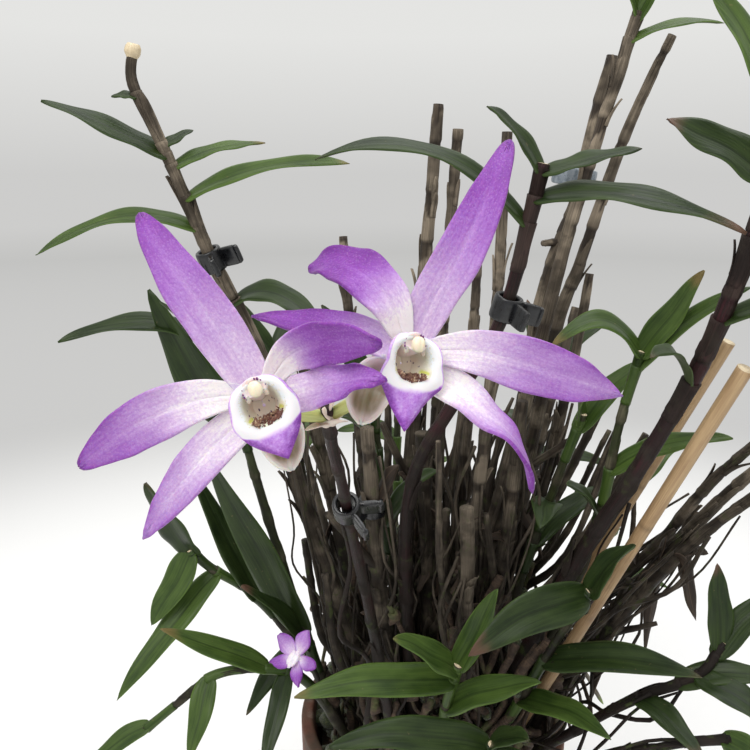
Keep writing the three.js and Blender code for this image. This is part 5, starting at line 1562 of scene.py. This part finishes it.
def temporary(name, points, faces):
    mesh = bpy.data.meshes.new(name)
    mesh.from_pydata(np.asarray(points).tolist(), [], faces)
    thing = bpy.data.objects.new(name, mesh)
    bpy.context.scene.collection.objects.link(thing)
    return thing


def drain_cutter(body, turn):
    """Cuts one drain hole out of the pot with a temporary tube."""
    angle = 2 * np.pi * turn / 3 + np.pi / 2
    middle = np.array([DRAIN_RING * math.cos(angle), DRAIN_RING * math.sin(angle), 0])
    hole = tube(middle + np.array([[0, 0, -4.0], [0, 0, 8.0]]), np.full(2, DRAIN_RADIUS), 28)
    cut = body.modifiers.new("drain", "BOOLEAN")
    cut.operation = "DIFFERENCE"
    cut.solver = "EXACT"
    cut.object = temporary("drain", hole["points"], hole["faces"])
    return cut.object


def pot_piece():
    shoulder = POT_HEIGHT - POT_BAND_HEIGHT
    body_top = blend(POT_BASE_RADIUS, POT_RIM_RADIUS - POT_BAND_OUT, shoulder / POT_HEIGHT)
    profile = rounded([
        (0.5, 0), (POT_BASE_RADIUS, 0), (body_top, shoulder), (POT_RIM_RADIUS, shoulder + 0.8),
        (POT_RIM_RADIUS, POT_HEIGHT), (pot_inside(POT_HEIGHT), POT_HEIGHT), (pot_inside(POT_WALL), POT_WALL),
        (0.5, POT_WALL)], 1.1)

    def bumps(r, z, angle):
        away = smoothstep(z, 2, 6) * (r > 5)
        turning = 0.12 * np.sin(z * 1.9) + 0.10 * np.sin(z * 4.3)
        uneven = 0.5 * (rough_round(3, 6, angle, z * 0.08) - 0.5)
        return r + away * (0.5 * turning + uneven), z

    body = temporary("pot_body", *lathe(dense(profile, 2.4), 96, bumps))
    cutters = [drain_cutter(body, turn) for turn in range(3)]
    mesh = bpy.data.meshes.new_from_object(body.evaluated_get(bpy.context.evaluated_depsgraph_get()))
    points = np.array([v.co for v in mesh.vertices])
    faces = [tuple(f.vertices) for f in mesh.polygons]
    for thing in [body, *cutters]:
        bpy.data.objects.remove(thing)
    # The share of the top of the pot that is darkened
    darker_near_top = smoothstep(points[:, 2], POT_HEIGHT - 26, POT_HEIGHT - 6)
    piece("pot_fine", [part(points, faces, points, darker_near_top, 0.0)], [CLAY], "pot")


def mound(reach):
    """How far the mix rises over its bed at a distance from the pot's axis."""
    return MOUND * (1 - np.minimum(1, reach / BED_LIMIT) ** 2)


def out_at(reach, angle, high):
    return np.array([reach * math.cos(angle), reach * math.sin(angle), high])


def bed_part():
    bottom = POT_WALL + GAP
    foot, brim = pot_inside(bottom) - GAP, pot_inside(BED) - 3 * GAP
    profile = [(0.5, bottom), (foot, bottom), (brim, BED), (0.5, BED)]

    def bumps(r, z, angle):
        x, y = r * np.cos(angle), r * np.sin(angle)
        bed = 2.4 * (rough(5, x / 4 + 30, y / 4 + 30) - 0.6)
        bed = bed + rough(6, x / 1.6 + 30, y / 1.6 + 30) - 0.5
        return r, z + (z > BED - 0.5) * (bed + mound(r))

    points, faces = lathe(dense(profile, 1.6), 84, bumps)
    return part(points, faces, points, 0.0, 0.0)


def bark_chips(random):
    parts = []
    for number in range(BARK_CHIPS):
        size = np.array([random.uniform(2.2, 7.0), random.uniform(1.6, 4.2), random.uniform(0.7, 1.7)])
        reach = (BED_LIMIT - size[0] * 0.8) * math.sqrt((number + 0.5) / BARK_CHIPS)
        turn = Matrix.Rotation(random.uniform(0, FULL_TURN), 3, "Z")
        for axis in "XY":
            turn = turn @ Matrix.Rotation(random.uniform(-0.5, 0.5), 3, axis)
        turn = np.array(turn)
        high = BED + mound(reach) + random.uniform(-0.3, 1.9)
        at = out_at(reach, number * math.pi * (3 - math.sqrt(5)), high)
        worn = random.uniform(0, 1) ** 2
        parts.append(lump(size, lambda p: p @ turn.T + at, 6, 11, 0.42, number, 0.16, tone=worn))
    return parts


def moss_cushions(random):
    """Cushions of moss, by turns over the bed and along the pot's rim."""
    parts = []
    for number in range(MOSS_CUSHIONS):
        at_rim = number % 2
        if at_rim:
            reach = random.uniform(BED_LIMIT - 3, BED_LIMIT + 3.4)
        else:
            reach = BED_LIMIT * random.uniform(0.1, 1) ** 0.5
        angle = random.uniform(0, FULL_TURN)
        high = random.uniform(BED + 4, POT_HEIGHT + 1.5) if at_rim else BED + mound(reach) + 0.8
        at = out_at(reach, angle, high)
        wide = random.uniform(1.8, 4.6)
        size = np.array([wide, wide * random.uniform(0.7, 1), random.uniform(1.6, 3.2)])
        parts.append(lump(size, lambda p: p + at, 9, 14, 1.0, number, 0.42, paint=1))
    return parts


def strayed(reach, step, random):
    """A root's next distance from the axis, which stays inside the pot."""
    return min(BED_LIMIT + 2, max(3, reach + random.uniform(-step, step)))


def creeping_roots(random):
    """Pale roots that lie on the bed."""
    parts = []
    rows = 32
    for number in range(CREEPING_ROOTS):
        angle = random.uniform(0, FULL_TURN)
        reach = random.uniform(6, BED_LIMIT - 8)
        path = []
        for _ in range(6):
            path.append(out_at(reach, angle, BED + 1.6 + mound(reach) + random.uniform(-0.8, 5)))
            angle += random.uniform(-0.5, 0.5)
            reach = strayed(reach, 6, random)
        width = random.uniform(0.35, 0.8) * (0.85 + 0.3 * rough(number, np.arange(rows) * 0.6, 0.5))
        parts.append(tube(route(path, rows), width, 6, paint=2))
    return parts


def dry_roots(random):
    """Dry roots that rise out of the bed, each with two scraps caught on it."""
    parts = []
    rows, sides = 28, 6
    for number in range(DRY_ROOTS):
        angle = random.uniform(0, FULL_TURN)
        reach = BED_LIMIT * math.sqrt(random.uniform(0.02, 1))
        rise = random.uniform(18, 78) * (1 - 0.3 * reach / BED_LIMIT)
        path = []
        for share in np.linspace(0, 1, 6):
            path.append(out_at(reach * (1 + 0.3 * share), angle, BED + mound(reach) + rise * share))
            angle += random.uniform(-0.22, 0.22)
            reach = strayed(reach, 3, random)
        line = route(path, rows)
        width = random.uniform(0.5, 1.15)
        lumps = 0.7 + 0.6 * rough(number + 90, np.arange(rows)[:, None] * 0.8, np.arange(sides)[None] * 0.8)
        parts.append(tube(line, width * lumps, sides))
        for at in random.uniform(0.1, 1.0, 2):
            spot = point_at(line, at)
            size = random.uniform(0.8, 2.6, 3)
            paint = int(random.integers(0, 2))
            parts.append(lump(size, lambda p: p + spot, 6, 8, 0.8, number, 0.4, paint=paint))
    return parts


def mix_piece():
    """The bed with bark chips, moss cushions and dry roots on it."""
    random = np.random.default_rng(7)
    parts = [bed_part()]
    for make in (bark_chips, moss_cushions, creeping_roots, dry_roots):
        parts += make(random)
    piece("potting_mix_fine", parts, [BARK, MOSS, ROOT], "potting_mix")


# Stakes, clips and roots

COLLAR_EDGE = 0.45


def stake_piece(stake, seed):
    level = np.array([*stake["foot"], SOIL], float)
    tip = np.array(stake["tip"], float)
    line = evenly(np.array([level + unit(level - tip) * STAKE_DEPTH, tip]), 130)
    s = distances(line)
    knots = s[-1] * np.array([0.3, 0.72])
    away = np.abs(s[:, None] - knots).min(1)[:, None]
    groove = bell(away, 0.3)
    flutes = rough_round(seed, 9, circle(24), s[:, None] * 0.02) - 0.5
    radius = stake["radius"] * (0.97 + 0.07 * bell(away, 0.9) - 0.05 * groove) * (1 + 0.06 * flutes)
    body = tube(line, radius, 24, groove, end=1)
    piece(stake["name"] + "_fine", [body], [BAMBOO, CUT_END], stake["name"])


def collar_part(inner, outer, long, place):
    """A round collar with softened edges."""
    around_rim, sides = 20, 48
    rim = circle(around_rim)[0]
    ring_r = (inner + outer) / 2 + (outer - inner) / 2 * power(np.cos(rim), COLLAR_EDGE)
    ring_y = long / 2 * power(np.sin(rim), COLLAR_EDGE)
    angle = circle(sides)
    ring_r = ring_r[:, None]
    points = grid(ring_r * np.cos(angle), ring_y[:, None], ring_r * np.sin(angle)).reshape(-1, 3)
    faces = [tuple(v % len(points) for v in f) for f in quads(around_rim + 1, sides, True).tolist()]
    return part(place(points), faces, points, 0.0, 0.0)


def clip_piece(clip):
    """A spring clip: a rounded collar and two ribbed finger tabs."""
    cane = CANES[clip["cane"]]
    line = cane_line(cane)
    radius = float(cane_radius(cane, clip["at"]))
    middle = point_at(line, clip["at"])
    near = point_at(line, clip["at"] + 0.005) - point_at(line, clip["at"] - 0.005)
    turn = np.array(Vector((0, 1, 0)).rotation_difference(Vector(near)).to_matrix())

    def place(p):
        return np.asarray(p, float) @ turn.T + middle

    parts = [collar_part(radius + 0.6, radius + 1.6, 5.0, place)]
    for opening in (-0.5, 0.5):
        lean = np.array(Matrix.Rotation(clip["turn"] + opening, 3, "Y"))

        def tab_place(p):
            rib = 0.12 * np.cos(p[:, 2] * 5.5) * np.sign(p[:, 0])
            return place((p + [0, 0, radius + 3.4] + rib[:, None] * [1, 0, 0]) @ lean.T)

        parts.append(lump((0.55, 2.2, 2.75), tab_place, 30, 28, 0.35, 1))
    paint = CLIP_GREY if clip["name"] == "clip_grey_canes" else CLIP_BLACK
    piece(clip["name"] + "_fine", parts, [paint], clip["name"])


def root_piece(root, seed):
    x, y = root["foot"]
    rows = 90
    line = route([[x, y, SOIL - 8], [x, y, SOIL], [x, y, SOIL + 4], *root["path"]], rows)
    t = np.linspace(0, 1, rows)
    radius = blend(0.9, 0.6, t) * (0.88 + 0.25 * rough(seed, t * 40, 0.5))
    radius[-4:] *= [0.9, 0.75, 0.5, 0.2]
    body = tube(line, radius, 12, smoothstep(t, 0.93, 0.98))
    piece(root["name"] + "_fine", [body], [ROOT], root["name"])


# Making of the plant

LOW_CANE = next(c for c in LEAFY_CANES if c["name"] == SMALL["cane"])
CANES = {c["name"]: c for c in [*LEAFY_CANES, FLOWER_CANE]}
for number, one in enumerate(OLD_CANES):
    one["name"] = f"old_cane_{number + 1:02d}"
    CANES[one["name"]] = one
    old_cane(one, 100 + number)
for number, one in enumerate(LEAFY_CANES):
    leafy_cane(one, 200 + number, [small_stalk()] if one is LOW_CANE else [])
flower_parts = cane_parts(FLOWER_CANE, 300, YOUNG)
piece("flowering_cane_fine", flower_parts, [YOUNG_CANE], "flowering_cane")
for number, one in enumerate(BLOOMS):
    bloom_pieces(one, 2 + 10 * number)
small_bloom()
pot_piece()
mix_piece()
for number, one in enumerate(STAKES):
    stake_piece(one, 400 + number)
for one in CLIPS:
    clip_piece(one)
for number, one in enumerate(AERIAL_ROOTS):
    root_piece(one, 420 + number)


# Floor, light and camera

WALL = (0.61, 0.608, 0.60)
WALL_LOW = (0.545, 0.545, 0.535)
WALL_HIGH = (0.78, 0.78, 0.765)
FLOOR_RADIUS = 6.0
CAMERA_PLACE = (-0.018, -0.202, 0.241)
CAMERA_TILT = math.radians(75)


def floor_paint():
    """White near the pot, and pale grey beyond, like a light table before a pale wall."""
    p = Paint("floor")
    source = p.add("ShaderNodeTexCoord").outputs["Object"]
    away = p.add("ShaderNodeVectorMath", {"operation": "LENGTH"})
    p.put(away.inputs[0], source)
    away = away.outputs["Value"]
    p.shader.inputs["Base Color"].default_value = (0.86, 0.86, 0.86, 1)
    p.shader.inputs["Roughness"].default_value = 0.7
    grey = p.ramp(p.between(away, 0.4, 4.0), [(0.0, WALL), (0.5, WALL_LOW), (1.0, WALL)])
    glow = p.add("ShaderNodeEmission", Color=grey, Strength=1.0)
    both = p.add("ShaderNodeMixShader")
    far = p.between(away, 0.30, 0.62)
    for socket, value in zip(both.inputs, (far, p.shader.outputs[0], glow.outputs[0])):
        p.put(socket, value)
    end = next(n for n in p.tree.nodes if n.type == "OUTPUT_MATERIAL")
    p.put(end.inputs["Surface"], both.outputs[0])
    return p.material


def area_light(name, place, aim, size, watts, colour=(1, 1, 1)):
    data = bpy.data.lights.new(name, "AREA")
    data.shape = "DISK"
    data.size = size
    data.energy = watts
    data.color = colour
    light = bpy.data.objects.new(name, data)
    light.location = place
    light.rotation_euler = (Vector(aim) - Vector(place)).to_track_quat("-Z", "Y").to_euler()
    bpy.context.scene.collection.objects.link(light)


bpy.ops.mesh.primitive_circle_add(vertices=96, radius=FLOOR_RADIUS, fill_type="NGON")
floor = bpy.context.object
floor.name = "floor"
floor.data.materials.append(floor_paint())
floor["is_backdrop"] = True

world = bpy.data.worlds.new("room")
world.use_nodes = True
back = next(n for n in world.node_tree.nodes if n.type == "BACKGROUND")
tree = world.node_tree
direction = tree.nodes.new("ShaderNodeTexCoord")
height = tree.nodes.new("ShaderNodeSeparateXYZ")
shades = tree.nodes.new("ShaderNodeValToRGB")
shades.color_ramp.elements[0].color = (*WALL, 1)
shades.color_ramp.elements[1].color = (*WALL_HIGH, 1)
shades.color_ramp.elements[1].position = 0.16
tree.links.new(direction.outputs["Generated"], height.inputs[0])
tree.links.new(height.outputs["Z"], shades.inputs[0])
tree.links.new(shades.outputs[0], back.inputs["Color"])
back.inputs["Strength"].default_value = 1.0
bpy.context.scene.world = world

area_light("key", (-0.30, -0.55, 0.80), (0, -0.06, 0.2), 0.5, 3.7, (1.0, 0.985, 0.96))
area_light("top", (0.15, 0.05, 0.95), (0, 0, 0.1), 0.7, 3.6)
bpy.context.scene.view_settings.view_transform = "Standard"

camera = bpy.data.objects.new("camera", bpy.data.cameras.new("camera"))
camera.data.sensor_width = 36
camera.data.lens = 36
camera.data.clip_start = 0.01
camera.location = CAMERA_PLACE
camera.rotation_euler = (CAMERA_TILT, 0, 0)
bpy.context.scene.collection.objects.link(camera)
bpy.context.scene.camera = camera


def corners(box):
    return [[float(v) for v in corner] for corner in box]


sizes = {"cad": corners(cad_box), "visual": corners(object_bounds())}
